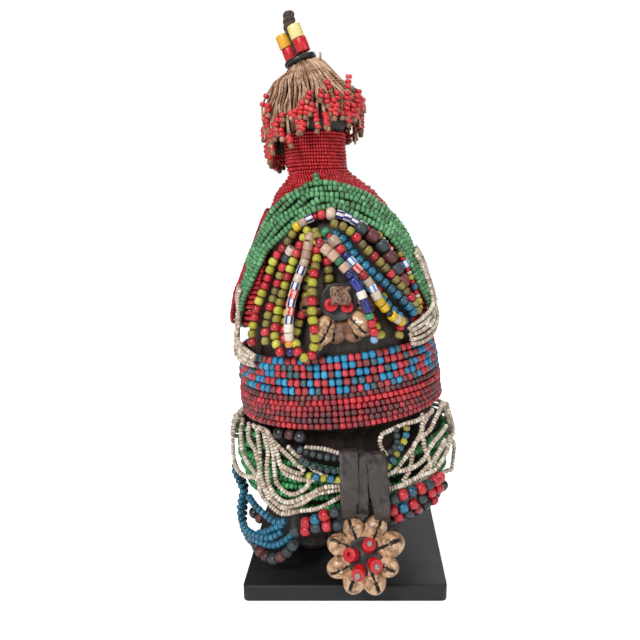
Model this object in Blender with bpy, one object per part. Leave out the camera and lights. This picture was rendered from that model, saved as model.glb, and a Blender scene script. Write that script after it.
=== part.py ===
"""A namji doll: a carved wooden figure on a square base, wrapped in bead strands, with a string wig.

Metres, +Z up. The origin is the centre of the base's underside and the figure faces -Y.
A place on the figure is given by an angle round it in degrees, 0 at the front and 90 toward +X,
and a height over the base in thousandths of a metre at true size.
"""

import math

import bmesh
import bpy
import numpy as np
from mathutils import Matrix, Vector

# Driving sizes
GAP = 0.0003
EASE = 0.0012
BASE_WIDTH = 0.120
BASE_HEIGHT = 0.010
BASE_CORNER = 0.0035
BASE_EDGE = 0.0012
FIGURE_HEIGHT = 0.290

RED_BEAD = 0.0027
GREEN_BEAD = 0.0036
NECKLACE_BEAD = 0.0050
LARGE_BEAD = 0.0080
BELT_BEAD = 0.0043
LOWER_BELT_BEAD = 0.0034
CREAM_BEAD = 0.0029
BLUE_BEAD = 0.0036
HIP_BEAD = 0.0064

NECK_ROWS = 9
SHOULDER_ROWS = 12
MANTLE_ROWS = 18
GREEN_ROWS = 5
BELT_ROWS = 5
LOWER_BELT_ROWS = 6
CREAM_ROWS = 5

RING_RADIUS = 0.0084
RING_THICKNESS = 0.0024
TUBE_BEAD_LENGTH = 0.0076
TUBE_BEAD_RADIUS = 0.0041
TUBE_BEAD_BORE = 0.0011
CORD_RADIUS = 0.0016

COWRIE_LENGTH = 0.0190
COWRIE_HEIGHT = 0.0080
DISC_RADIUS = 0.0105
DISC_HEIGHT = 0.0030
PEBBLE_TAPER = 0.7

CLASP_WIDTH = 0.029
CLASP_HEIGHT = 0.042
LEATHER = 0.0026
CLASP_STRAPS = 3
CLASP_FOLD = 0.8
CLASP_CROWN = 0.6
LIP = 4.0

CROWN_TILT = -21.0
# Name, angle round the top cord, level
TUBE_BEADS = (
    ("red_tube_bead_right", 48, 0),
    ("red_tube_bead_left", 228, 0),
    ("yellow_tube_bead", 42, 1),
    ("orange_tube_bead", 236, 1),
)
# Sideways and up from the top of the tube beads, in figure units
TOP_LOOP = ((0.3, 2.5), (2.2, 5.0), (2.0, 8.0), (-0.8, 9.4), (-3.8, 7.8), (-4.4, 4.6), (-4.2, 1.6))

# Share of the way out from the pendant's middle, share of the shell's height
COWRIE_RAYS = ((0.0, 0.5), (0.2, 0.9), (0.55, 1.0), (0.85, 0.7))
COWRIE_FOOT = 0.96
# Rays to a shell, the depth of its slit, and how narrow and low the seam between two shells is
SHELL_RAYS = 4
SLIT_DEPTH = 0.2
SEAM_REACH = 0.45
SEAM_HEIGHT = 0.5
SEAM_RADIUS = 1.25

# The leather wrap's middle, sideways and up in figure units, and how far forward its face lies
CLASP_X = 12.0
CLASP_HEIGHT_UP = 61.0
CLASP_FRONT = 0.0605
# Share of half its height, how far back of its face in figure units, share of its width
CLASP_PROFILE = (
    (1.0, 9.0, 0.86), (0.97, 4.0, 0.95), (0.8, 1.0, 1.0), (0.3, 0.0, 1.0), (-0.3, 0.0, 0.98),
    (-0.8, 1.0, 0.95), (-0.97, 3.0, 0.9), (-1.0, 6.0, 0.8),
)

NECK_TOP = 259.6
ROWS_PER_RIB = 3
BELT_TOP = 136.0
HANK_BOTTOM = 40.0
HANK_RIBS = 6
HANK_GROOVE = 0.0022
HANK_TOP = 84.0
HANK_DIP = 15.0
HANK_DIP_ANGLE = 8.0
CLASP_ANGLE = 12.0
# Width of the cream strands at the clasp and at the sides, and the angle over which it grows
CREAM_NARROW = 12.0
CREAM_WIDE = 32.0
CREAM_OPENING = 60.0
SLATE_BEAD = 0.0055

# Angle and height of the chest pendant's middle, and the hip pendant's place
CHEST_PLACE = (4.0, 165.0)
HIP_X = 12.2
HIP_BACK = 0.0640
HIP_Z = 0.0295
HIP_TILT = 0.12

# Under each disc: name, colour, place sideways and up on the disc, radius, height
PENDANT_TRIM = {
    "chest_disc": (
        ("chest_red_bead_left", "red", -0.0042, -0.0018, 0.0036, 0.0030),
        ("chest_red_bead_right", "red", 0.0046, -0.0026, 0.0036, 0.0030),
        ("chest_twine_knot", "cord", 0.0003, 0.0052, 0.0044, 0.0042),
    ),
    "hip_disc": (
        ("hip_red_bead_left", "red", -0.0062, 0.0010, 0.0034, 0.0062),
        ("hip_red_bead_top", "red", 0.0010, 0.0052, 0.0034, 0.0062),
        ("hip_red_bead_right", "red", 0.0050, -0.0020, 0.0034, 0.0062),
        ("hip_pale_knot", "knot", -0.0020, -0.0062, 0.0030, 0.0080),
    ),
}

# The carved figure is a free form, drawn in 290ths of its height, which are millimetres at true size
UNIT = FIGURE_HEIGHT / 290.0
FOOT = BASE_HEIGHT + GAP

# Height, half width, depth of front, depth of back
BODY = (
    (44, 47, 36, 36),
    (56, 50, 40, 40),
    (70, 47, 38, 38),
    (82, 45, 37, 37),
    (88, 48, 40, 39),
    (92, 60, 50, 46),
    (110, 59.5, 50, 46),
    (127, 57, 49, 44.5),
    (140, 55.5, 48, 43),
    (150, 54.5, 46, 41),
    (162, 53, 43, 38),
    (180, 47.5, 39.5, 34),
    (195, 42, 36.5, 31),
    (208, 36.5, 32.5, 28),
    (218, 31.5, 27.5, 25),
    (226, 25.5, 22, 22),
    (231, 19.5, 18.8, 18.5),
    (235, 15.5, 15.5, 15.5),
    (261, 15.5, 15.5, 15.5),
    (262.5, 19, 19.5, 19.5),
    (268, 20.5, 21, 21),
    (275, 19.5, 20, 20),
    (281, 14.5, 15, 15),
    (286, 9, 9.5, 9.5),
    (290, 4, 4.5, 4.5),
)
# The outer face of the hank of strands at the waist, and where the loops under it hang
WAIST = (
    (0, 60, 50, 45),
    (38, 60, 50, 45),
    (44, 63, 51, 46),
    (52, 67, 53, 48),
    (62, 68, 54, 49),
    (72, 68, 52, 48),
    (80, 67, 47, 46),
    (87, 64, 44, 44),
)
LEG = (
    (0, 17, 25, 17), (5, 18, 27, 18), (11, 15, 17, 16), (24, 17, 19, 18), (38, 18.5, 24, 22),
    (50, 18.8, 26, 24),
)
LEG_SPREAD = 20

# Height and sideways lean of the figure's middle line
LEAN = (
    (0, -2), (94, -2.7), (133, -6), (196, -8), (216, -10), (230, -13), (240, -17.5),
    (258, -18.5), (281, -18.7), (301, -26), (325, -33),
)

# Height, and how much the rows round it rise toward +X: the belts sit aslant
SLANT = ((82, 0.0), (92, 0.08), (140, 0.08), (162, 0.0))

# Sides of the figure and of everything wound round it, which share their corners
SIDES = 20
LEG_SIDES = 12
# Depth of the groove between two rows of a wrap or of a band, as a share of the bead
WRAP_GROOVE = 0.55
BAND_GROOVE = 0.45


def clear_scene():
    for thing in list(bpy.data.objects):
        bpy.data.objects.remove(thing, do_unlink=True)


def material(name, colour, roughness, metallic=0.0):
    made = bpy.data.materials.new(name)
    made.use_nodes = True
    shader = made.node_tree.nodes["Principled BSDF"]
    shader.inputs["Base Color"].default_value = (*colour, 1.0)
    shader.inputs["Roughness"].default_value = roughness
    shader.inputs["Metallic"].default_value = metallic
    return made


def add_mesh(name, bm, finish):
    """A new object from a bmesh, with its faces turned outwards."""
    bmesh.ops.recalc_face_normals(bm, faces=bm.faces)
    mesh = bpy.data.meshes.new(name)
    bm.to_mesh(mesh)
    bm.free()
    made = bpy.data.objects.new(name, mesh)
    bpy.context.collection.objects.link(made)
    mesh.materials.append(finish)
    return made


def skin_rings(bm, rings, round_ring=True, closed_path=False):
    """Quads between rings of points in order. An open path gets a cap at each end."""
    rows = [[bm.verts.new(point) for point in ring] for ring in rings]
    count = len(rows[0])
    last = len(rows) if closed_path else len(rows) - 1
    for i in range(last):
        here, there = rows[i], rows[(i + 1) % len(rows)]
        for j in range(count if round_ring else count - 1):
            k = (j + 1) % count
            bm.faces.new((here[j], here[k], there[k], there[j]))
    if not closed_path:
        bm.faces.new(rows[0][::-1])
        bm.faces.new(rows[-1])


# The figure's surface, which every strand follows
def lean(height):
    return float(np.interp(height, [h for h, _ in LEAN], [x for _, x in LEAN]))


def slant(height):
    return float(np.interp(height, [h for h, _ in SLANT], [r for _, r in SLANT]))


def station(height, stations):
    heights = [row[0] for row in stations]
    return [float(np.interp(height, heights, [row[k] for row in stations])) for k in (1, 2, 3)]


def surface(angle, height, form=BODY):
    """A point on one of the free forms: the carved body or the hank of strands at the waist."""
    half_width, front, back = station(height, form)
    turn = math.radians(angle)
    depth = front if math.cos(turn) > 0 else back
    across = half_width * math.sin(turn)
    return Vector((
        (lean(height) + across) * UNIT,
        -depth * math.cos(turn) * UNIT,
        FOOT + (height + slant(height) * across) * UNIT,
    ))


def outward(angle, height, form=BODY):
    along = surface(angle + 2, height, form) - surface(angle - 2, height, form)
    upward = surface(angle, height + 1.2, form) - surface(angle, height - 1.2, form)
    return along.cross(upward).normalized()


def lifted(angle, height, lift, form=BODY):
    """A point lift metres out from a form's surface."""
    return surface(angle, height, form) + outward(angle, height, form) * lift


def smooth_route(points, steps, closed=False):
    """A smooth curve through route points (angle, height, rise), with steps spans between each two."""
    rows = [np.array(point, float) for point in points]
    count = len(rows)
    spans = count if closed else count - 1
    found = []
    for i in range(spans):
        p0 = rows[(i - 1) % count] if closed or i > 0 else rows[0]
        p1, p2 = rows[i], rows[(i + 1) % count]
        p3 = rows[(i + 2) % count] if closed or i + 2 < count else rows[-1]
        if closed:
            turn = np.array([360.0, 0, 0])
            p0 = p0 - turn if i == 0 else p0
            p2 = p2 + turn if i + 1 >= count else p2
            p3 = p3 + turn if i + 2 >= count else p3
        for s in range(steps):
            t = s / steps
            found.append(0.5 * (
                2 * p1 + (p2 - p0) * t + (2 * p0 - 5 * p1 + 4 * p2 - p3) * t * t
                + (3 * p1 - 3 * p2 + p3 - p0) * t ** 3
            ))
    if not closed:
        found.append(rows[-1])
    return found


def strand(name, route, bead, finish, form=BODY, steps=1, sides=6):
    """One bead strand as a plain tube along route points (angle, height, rise over the form)."""
    curve = bpy.data.curves.new(name, "CURVE")
    curve.dimensions = "3D"
    curve.bevel_depth = bead / 2
    curve.bevel_resolution = (sides - 4) // 2
    curve.use_fill_caps = True
    points = [
        lifted(angle, height, EASE + bead / 2 + rise * UNIT, form)
        for angle, height, rise in smooth_route(route, steps)
    ]
    spline = curve.splines.new("POLY")
    spline.points.add(len(points) - 1)
    for made, point in zip(spline.points, points):
        made.co = (*point, 1.0)
    thing = bpy.data.objects.new(name, curve)
    bpy.context.collection.objects.link(thing)
    curve.materials.append(finish)
    return thing


def sideways(angle, height, along, distance, form=BODY):
    """The place a distance to the side of a route that runs along (d angle, d height) on the surface."""
    across = (surface(angle + 1, height, form) - surface(angle - 1, height, form)).length / 2
    upward = (surface(angle, height + 1, form) - surface(angle, height - 1, form)).length / 2
    run = Vector((along[0] * across, along[1] * upward)).normalized()
    return angle - run.y * distance / across, height + run.x * distance / upward


def band(name, route, rows, bead, lift, finish, form=BODY, steps=2, closed=True, spread=None):
    """Rows of beads side by side along a route, as one ribbed band of solid."""
    places = smooth_route(route, steps, closed)
    rings = []
    for i, (angle, height, rise) in enumerate(places):
        before = places[i - 1] if closed or i > 0 else places[0]
        after = places[(i + 1) % len(places)] if closed or i + 1 < len(places) else places[-1]
        step = after[0] - before[0]
        step += 360 if closed and step < 0 else 0
        along = (step, after[1] - before[1])
        pitch = spread(angle) / rows if spread else bead
        base_lift = lift + rise * UNIT
        outer, inner = [], []
        for k in range(2 * rows + 1):
            out = bead if k % 2 else bead * BAND_GROOVE
            a, h = sideways(angle, height, along, (k / 2 - rows / 2) * pitch, form)
            outer.append(lifted(a, h, base_lift + out, form))
            if k % 4 == 0 or k == 2 * rows:
                inner.append(lifted(a, h, base_lift, form))
        rings.append(outer + inner[::-1])
    bm = bmesh.new()
    skin_rings(bm, rings, closed_path=closed)
    return add_mesh(name, bm, finish)


def heights_down(top, pitch, count):
    """Heights of count steps down the figure's side, each a pitch long on its surface."""
    found = [top]
    for _ in range(count):
        height = found[-1]
        slope = (surface(60, height) - surface(60, height - 1)).length
        found.append(height - pitch / slope)
    return found


def below(top, pitch, ribs):
    """Where the next sleeve starts, a gap under one of so many ribs that starts at top."""
    return heights_down(top, pitch / 2, 2 * ribs)[-1] - GAP / UNIT


def heights_between(top, bottom):
    """A sleeve's ends and the carved body's own stations between them, from the top down."""
    stations = [row[0] for row in reversed(BODY) if bottom + 0.5 < row[0] < top - 0.5]
    return [top, *stations, bottom]


def wrap(name, top, ribs, pitch, bead, lift, finish, sides=SIDES, start=0.0, sweep=360.0):
    """Rows wound down the figure from a height, as one ribbed sleeve or, for part of a turn, a C."""
    whole = sweep == 360.0
    heights = heights_down(top, pitch / 2, 2 * ribs)
    rings = []
    for i in range(sides if whole else sides + 1):
        angle = start + sweep * i / sides
        outer = []
        for k, height in enumerate(heights):
            out = bead if k % 2 else bead * WRAP_GROOVE
            outer.append(lifted(angle, height, lift + out))
        inner = [lifted(angle, height, lift) for height in heights_between(heights[0], heights[-1])]
        rings.append(outer + inner[::-1])
    bm = bmesh.new()
    skin_rings(bm, rings, closed_path=whole)
    return add_mesh(name, bm, finish)


# The base and the carved figure
def make_base(finish):
    bm = bmesh.new()
    bmesh.ops.create_cube(bm, size=1.0)
    bmesh.ops.scale(bm, vec=(BASE_WIDTH, BASE_WIDTH, BASE_HEIGHT), verts=bm.verts)
    bmesh.ops.translate(bm, vec=(0, 0, BASE_HEIGHT / 2), verts=bm.verts)
    upright = [e for e in bm.edges if abs(e.verts[0].co.z - e.verts[1].co.z) > BASE_HEIGHT / 2]
    bmesh.ops.bevel(bm, geom=upright, offset=BASE_CORNER, segments=3, profile=0.5, affect="EDGES")
    rim = [e for e in bm.edges if all(v.co.z > BASE_HEIGHT * 0.99 for v in e.verts)]
    bmesh.ops.bevel(bm, geom=rim, offset=BASE_EDGE, segments=2, profile=0.5, affect="EDGES")
    return add_mesh("base", bm, finish)


def body_mesh():
    rings = []
    for height, *_ in BODY:
        rings.append([surface(360.0 * j / SIDES, height) for j in range(SIDES)])
    bm = bmesh.new()
    skin_rings(bm, rings)
    return bm


def leg_mesh(side):
    rings = []
    for height, half_width, front, back in LEG:
        ring = []
        for j in range(LEG_SIDES):
            turn = 2 * math.pi * j / LEG_SIDES
            depth = front if math.cos(turn) > 0 else back
            ring.append(Vector((
                (lean(height) + side * LEG_SPREAD + half_width * math.sin(turn)) * UNIT,
                -depth * math.cos(turn) * UNIT,
                FOOT + height * UNIT,
            )))
        rings.append(ring)
    bm = bmesh.new()
    skin_rings(bm, rings)
    return bm


def make_figure(finish):
    figure = add_mesh("figure", body_mesh(), finish)
    for side in (-1, 1):
        leg = add_mesh("leg_shape", leg_mesh(side), finish)
        leg.hide_render = True
        leg.display_type = "WIRE"
        join = figure.modifiers.new("leg", "BOOLEAN")
        join.operation = "UNION"
        join.solver = "EXACT"
        join.object = leg
    return figure


# The wig, its ring and the beads on top
WIG_SIDES = 24
WIG = ((297, 6.5), (291.5, 14.0), (284, 20.0), (276, 24.5), (269, 26.5))
LOCK_DEPTH = 1.6
HEAD_HEIGHTS = (269, 275, 281, 286, 290)
# The hem's middle height, how far it rises to the right and to the front, and its waves
HEM_HEIGHT = 257.5
HEM_RIGHT = 10.0
HEM_FRONT = 5.0
HEM_WAVE = 1.2
HEM_RADIUS = 27.0
HEM_THICKNESS = 3.2


def wig_hem(angle):
    """Height of the wig's lower edge, which hangs lower at the left than at the right."""
    turn = math.radians(angle)
    return (
        HEM_HEIGHT + HEM_RIGHT * math.sin(turn) + HEM_FRONT * math.cos(turn) + HEM_WAVE * math.cos(6 * turn)
    )


def around(angle, height, radius):
    """A point round the figure's leaning middle line."""
    turn = math.radians(angle)
    return Vector((
        (lean(height) + radius * math.sin(turn)) * UNIT,
        -radius * math.cos(turn) * UNIT,
        FOOT + height * UNIT,
    ))


def make_wig(finish):
    rows = []
    bm = bmesh.new()
    for i in range(WIG_SIDES):
        angle = 360.0 * i / WIG_SIDES
        lock = LOCK_DEPTH if i % 2 else 0.0
        column = [around(angle, height, radius - lock * radius / HEM_RADIUS) for height, radius in WIG]
        column[0] = crown(0) @ (around(angle, WIG[0][0], WIG[0][1]) - around(angle, WIG[0][0], 0))
        column.append(around(angle, wig_hem(angle), HEM_RADIUS - 1.5 * lock))
        column.append(around(angle, wig_hem(angle) + HEM_THICKNESS / 2, HEM_RADIUS - HEM_THICKNESS))
        column += [lifted(angle, height, 4 * GAP) for height in HEAD_HEIGHTS]
        rows.append([bm.verts.new(point) for point in column])
    for i in range(WIG_SIDES):
        here, there = rows[i], rows[(i + 1) % WIG_SIDES]
        for j in range(len(here) - 1):
            bm.faces.new((here[j], here[j + 1], there[j + 1], there[j]))
    bm.faces.new([row[0] for row in rows])
    bm.faces.new([row[-1] for row in rows][::-1])
    return add_mesh("wig", bm, finish)


def frame_at(point, normal):
    """A location and turn that put local +Z along normal and local +Y as far up as it goes."""
    normal = normal.normalized()
    right = Vector((0, 0, 1)).cross(normal)
    right = right.normalized() if right.length > 1e-6 else Vector((1, 0, 0))
    return Matrix.Translation(point) @ Matrix((right, normal.cross(right), normal)).transposed().to_4x4()


def place(bm, frame):
    bmesh.ops.transform(bm, matrix=frame, verts=bm.verts)
    return bm


def turned(profile, sides):
    """A closed solid turned about local Z from (radius, height) points; ends on the axis are capped."""
    bm = bmesh.new()
    rings = []
    for j in range(sides):
        turn = 2 * math.pi * j / sides
        rings.append([Vector((r * math.cos(turn), r * math.sin(turn), z)) for r, z in profile])
    skin_rings(bm, rings, closed_path=True)
    return bm


def pebble(radius, height, sides):
    """A flat-backed rounded knob standing on local Z = 0."""
    rows = 2
    bm = bmesh.new()
    rings = []
    for k in range(rows + 1):
        share = k / rows
        size = radius * math.sqrt(1 - PEBBLE_TAPER * share ** 2)
        turns = [2 * math.pi * j / sides for j in range(sides)]
        rings.append([Vector((size * math.cos(t), size * math.sin(t), share * height)) for t in turns])
    skin_rings(bm, rings)
    return bm


def crown(rise):
    """A place over the wig's top, on the leaning middle line of the ring, tube beads and cord."""
    top = Matrix.Translation(around(0, WIG[0][0], 0))
    return top @ Matrix.Rotation(math.radians(CROWN_TILT), 4, "Y") @ Matrix.Translation((0, 0, rise))


def make_ring(finish):
    inner = RING_RADIUS - RING_THICKNESS
    middle = RING_RADIUS - RING_THICKNESS / 2
    half = RING_THICKNESS / 2
    profile = ((RING_RADIUS, half), (middle, 2 * half), (inner, half), (middle, 0))
    return add_mesh("top_ring", place(turned(profile, 14), crown(GAP)), finish)


def make_tube_beads(finishes):
    """Four short tubes standing round the top cord, two over two."""
    profile = (
        (TUBE_BEAD_RADIUS, 0.0), (TUBE_BEAD_RADIUS, TUBE_BEAD_LENGTH),
        (TUBE_BEAD_BORE, TUBE_BEAD_LENGTH), (TUBE_BEAD_BORE, 0.0),
    )
    apart = TUBE_BEAD_RADIUS + CORD_RADIUS + GAP
    for name, angle, level in TUBE_BEADS:
        turn = math.radians(angle)
        rise = RING_THICKNESS + 2 * GAP + level * (TUBE_BEAD_LENGTH + GAP)
        frame = crown(rise) @ Matrix.Translation((apart * math.sin(turn), -apart * math.cos(turn), 0))
        add_mesh(name, place(turned(profile, 8), frame), finishes[name.split("_")[0]])


def make_top_cord(finish):
    """The dark cord that comes up between the tube beads and is knotted in a loop."""
    curve = bpy.data.curves.new("top_cord", "CURVE")
    curve.dimensions = "3D"
    curve.bevel_depth = CORD_RADIUS
    curve.bevel_resolution = 1
    curve.use_fill_caps = True
    beads_top = RING_THICKNESS + 2 * TUBE_BEAD_LENGTH + 4 * GAP
    points = [crown(GAP).translation, crown(beads_top).translation]
    points += [crown(beads_top) @ Vector((side * UNIT, 0, up * UNIT)) for side, up in TOP_LOOP]
    spline = curve.splines.new("POLY")
    spline.points.add(len(points) - 1)
    for made, point in zip(spline.points, points):
        made.co = (*point, 1.0)
    thing = bpy.data.objects.new("top_cord", curve)
    bpy.context.collection.objects.link(thing)
    curve.materials.append(finish)
    return thing


# Cowrie pendants
def cowrie_fan(name, frame, count, start, sweep, finish):
    """Cowries side by side as rays of a fan, slit side out, sewn edge to edge round a flat middle."""
    whole = sweep == 360.0
    shell = sweep / count
    middle = DISC_RADIUS + 2 * GAP
    notch = SEAM_RADIUS * middle
    reach = COWRIE_LENGTH + DISC_RADIUS * 0.15
    steps = int(round(360.0 * SHELL_RAYS / shell))
    bm = bmesh.new()
    lines = []
    for j in range(steps):
        angle = start + 360.0 * j / steps
        within = whole or angle - start <= sweep + 0.01
        across = abs(math.sin(math.radians(180.0 * (angle - start) / shell))) if within else 0.0
        edge = notch + (reach - notch) * (SEAM_REACH + (1 - SEAM_REACH) * across) if within else notch
        slit = SLIT_DEPTH if j % SHELL_RAYS == SHELL_RAYS // 2 and within else 0.0
        turn = math.radians(angle)
        ray = Vector((math.sin(turn), math.cos(turn), 0))
        line = []
        for share in COWRIE_RAYS:
            radius = middle + (edge - middle) * share[0]
            swell = SEAM_HEIGHT + (1 - SEAM_HEIGHT) * across - slit if share[0] > 0 else 1.0
            line.append(bm.verts.new(ray * radius + Vector((0, 0, COWRIE_HEIGHT * share[1] * swell))))
        line.append(bm.verts.new(ray * edge * COWRIE_FOOT))
        lines.append(line)
    for j in range(steps):
        here, there = lines[j], lines[(j + 1) % steps]
        for k in range(len(here) - 1):
            bm.faces.new((here[k], there[k], there[k + 1], here[k + 1]))
    bm.faces.new([line[0] for line in lines])
    bm.faces.new([line[-1] for line in lines][::-1])
    return add_mesh(name, place(bm, frame), finish)


# The leather wrap
def make_clasp(finish):
    """Folded leather straps down over the waist strands, with a lip back over them above and below."""
    front = Vector((CLASP_X * UNIT, -CLASP_FRONT, FOOT + CLASP_HEIGHT_UP * UNIT))
    half_width, half_height = CLASP_WIDTH / 2, CLASP_HEIGHT / 2
    columns = 4 * CLASP_STRAPS
    rings = []
    for i in range(columns + 1):
        across = i / columns
        x = front.x - half_width + CLASP_WIDTH * across
        fold = abs(math.sin(math.pi * CLASP_STRAPS * across)) * LEATHER * CLASP_FOLD
        side = 1 - (2 * across - 1) ** 4
        ring = []
        for up, back, narrow in CLASP_PROFILE:
            depth = back * UNIT - fold * (1 if back < LIP else 0.3) - LEATHER * CLASP_CROWN * side
            ring.append(Vector((
                front.x + (x - front.x) * narrow, front.y + depth, front.z + up * half_height,
            )))
        behind = []
        for up, back, narrow in reversed(CLASP_PROFILE):
            behind.append(Vector((
                front.x + (x - front.x) * narrow,
                front.y + back * UNIT + (LEATHER if back < LIP else LEATHER / 2),
                front.z + up * half_height * 0.9,
            )))
        rings.append(ring + behind)
    bm = bmesh.new()
    skin_rings(bm, rings)
    return add_mesh("leather_clasp", bm, finish)


# The hank of strands at the waist
def hank_top(angle):
    """The hank's upper edge dips at the front, where the carved waist shows."""
    turn = math.radians(angle - HANK_DIP_ANGLE)
    return HANK_TOP - HANK_DIP * max(0.0, math.cos(turn)) ** 3


def make_hank(finish):
    rings = []
    for i in range(SIDES):
        angle = 360.0 * i / SIDES
        top, bottom = hank_top(angle), HANK_BOTTOM
        outer = []
        for k in range(2 * HANK_RIBS + 1):
            height = top + (bottom - top) * k / (2 * HANK_RIBS)
            cut = 0.0 if k % 2 else HANK_GROOVE
            outer.append(lifted(angle, height, -cut, WAIST))
        inner = [lifted(angle, height, 2 * GAP) for height in heights_between(top, bottom)]
        rings.append(outer + inner[::-1])
    bm = bmesh.new()
    skin_rings(bm, rings, closed_path=True)
    return add_mesh("waist_hank", bm, finish)


def cream_spread(angle):
    """Width of the cream strands, which the clasp gathers at the front."""
    away = abs((angle - CLASP_ANGLE + 180) % 360 - 180)
    return (CREAM_NARROW + (CREAM_WIDE - CREAM_NARROW) * min(1.0, away / CREAM_OPENING)) * UNIT


# Materials
def make_finishes():
    return {
        "black": material("black_paint", (0.012, 0.012, 0.013), 0.45),
        "wood": material("dark_wood", (0.045, 0.028, 0.02), 0.6),
        "string": material("tan_string", (0.42, 0.26, 0.16), 0.85),
        "ring": material("black_ring", (0.015, 0.015, 0.015), 0.3),
        "red": material("red_glass", (0.62, 0.035, 0.045), 0.25),
        "dark_red": material("dark_red_glass", (0.33, 0.03, 0.04), 0.3),
        "yellow": material("yellow_glass", (0.8, 0.55, 0.05), 0.25),
        "orange": material("orange_glass", (0.85, 0.32, 0.05), 0.25),
        "green": material("green_glass", (0.1, 0.42, 0.17), 0.25),
        "olive": material("olive_glass", (0.5, 0.48, 0.06), 0.45),
        "blue": material("blue_glass", (0.02, 0.16, 0.36), 0.25),
        "navy": material("navy_glass", (0.02, 0.03, 0.2), 0.25),
        "cream": material("cream_glass", (0.7, 0.58, 0.44), 0.35),
        "slate": material("slate_glass", (0.05, 0.07, 0.08), 0.35),
        "cord": material("dark_cord", (0.06, 0.035, 0.025), 0.8),
        "cowrie": material("cowrie_shell", (0.62, 0.42, 0.26), 0.4),
        "leather": material("grey_leather", (0.12, 0.1, 0.09), 0.75),
        "knot": material("pale_knot", (0.5, 0.44, 0.36), 0.7),
    }


# Strand routes: angle round the figure, height, rise over the surface, in figure units
GREEN_ROUTE = (
    (0, 221, 0), (17, 220, 0), (33, 216, 0), (50, 208, 0), (61, 197, 0), (68, 184, 0), (72, 170, 0),
    (83, 157, 0), (105, 149, 0), (145, 146, 0), (180, 146, 0), (215, 146, 0), (255, 149, 0), (280, 156, 0),
    (294, 169, 0), (300, 183, 0), (306, 196, 0), (319, 208, 0), (333, 215.5, 0), (346, 220, 0),
)
RED_LOOP = (
    (-80, 208, 0.2), (-85, 193, 1.2), (-90, 176, 4), (-95, 162, 6), (-103, 155, 6), (-111, 163, 4),
    (-113, 177, 0.7),
)
CREAM_LEFT = ((-73, 166, 0.4), (-80, 155, 0.6), (-84, 143, 0.6), (-80, 131, 0.2), (-66, 127, 0.2))
CREAM_RIGHT = ((80, 188, 0.4), (86, 175, 0.6), (90, 160, 1), (87, 147, 0.6), (72, 140, 0.6), (54, 138, 0.2))

# Name, finish, bead size key and route
NECKLACES = (
    ("yellow_red_strand_outer", "olive", (
        (-30, 199, 0), (-42, 186, 0), (-45, 174, 0), (-48, 159, 2), (-47, 145, 5),
    )),
    ("olive_red_strand", "olive", (
        (-31, 188, 0), (-34, 179, 0), (-37, 166, 0), (-38.5, 152, 3), (-37, 142, 5),
    )),
    ("yellow_red_strand_inner", "olive", (
        (-18, 200, 0), (-25, 186, 0), (-29, 172, 0), (-31, 157, 2), (-30, 145, 5), (-25, 138, 6),
    )),
    ("striped_strand", "cream", (
        (-13, 197, 6), (-15, 186, 6), (-19, 172, 8), (-21, 156, 9), (-21, 144, 8),
    )),
    ("yellow_strand_middle", "olive", (
        (-10, 202, 0), (-8, 188, 3), (-9, 175, 10), (-9, 158, 10), (-8, 145, 8), (-11, 137, 7), (-16, 139, 8),
    )),
    ("green_white_strand", "blue", (
        (-1, 200, 7), (8, 191, 8), (15, 182, 10), (21, 173, 10), (25, 163, 10), (29, 154, 9),
    )),
    ("navy_white_strand", "navy", (
        (-6, 196, 13), (3, 188, 14), (9, 180, 15), (14, 170, 15), (17, 158, 14), (20, 147, 11),
    )),
    ("blue_strand_lower", "blue", ((0, 195, 0), (13, 182, 3), (25, 169, 4), (38, 154, 4))),
    ("blue_strand_upper", "blue", ((8, 200, 0), (20, 186, 2), (33, 173, 4), (46, 159, 4))),
    ("yellow_red_strand_right", "yellow", (
        (12, 203, 6), (21, 195, 5), (31, 186, 4), (43, 173, 3), (53, 160, 3),
    )),
    ("striped_top_strand", "cream", (
        (-23, 203, 0), (-14, 205, 0), (-2, 206.5, 0), (9, 206.5, 0), (18, 204, 0),
    )),
)
SLATE_CHEST = ((-16, 185, 0), (-22, 172, 0), (-23.5, 160, 0), (-21.5, 149, 0))
LARGE_STRAND = ((24, 204, 0), (33, 199, 0), (41, 191, 0), (45, 182, 0))
CREAM_ROUTE = (
    (12, 57, 0), (33, 62, 0), (55, 68, 0), (80, 71, 0), (110, 71, 0), (145, 69, 0), (180, 68, 0),
    (215, 69, 0), (250, 71, 0), (280, 72, 0), (305, 69, 0), (327, 63, 0), (350, 58, 0),
)
WAIST_LOOPS = (
    ("blue_waist_loop", "blue", BLUE_BEAD, (
        (-72, 50, 0), (-76, 38, 0), (-76, 27, 0), (-66, 19, 0), (-50, 15, 0), (-36, 17, 0), (-24, 26, 0),
        (-15, 38, 0),
    )),
    ("blue_inner_loop", "blue", BLUE_BEAD, (
        (-52, 48, 0), (-48, 38, 0), (-40, 28, 0), (-30, 27, 0), (-22, 34, 0), (-20, 44, 0),
    )),
    ("slate_pink_loop", "slate", SLATE_BEAD, (
        (-60, 40, 3), (-56, 28, 6), (-46, 15, 6), (-34, 10, 6), (-26, 15, 6), (-22, 25, 6),
    )),
    ("red_slate_strand_left", "dark_red", HIP_BEAD, ((-26, 31, 5), (-16, 34, 5), (-8, 38, 5), (-1, 36, 5))),
    ("red_slate_strand_right", "dark_red", HIP_BEAD, ((31, 42, 5), (37, 46, 5), (44, 49, 5), (56, 52, 5))),
    ("dark_waist_roll", "cord", LARGE_BEAD, ((27, 31, 0), (40, 33, 0), (54, 34, 0), (66, 38, 0))),
)


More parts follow.
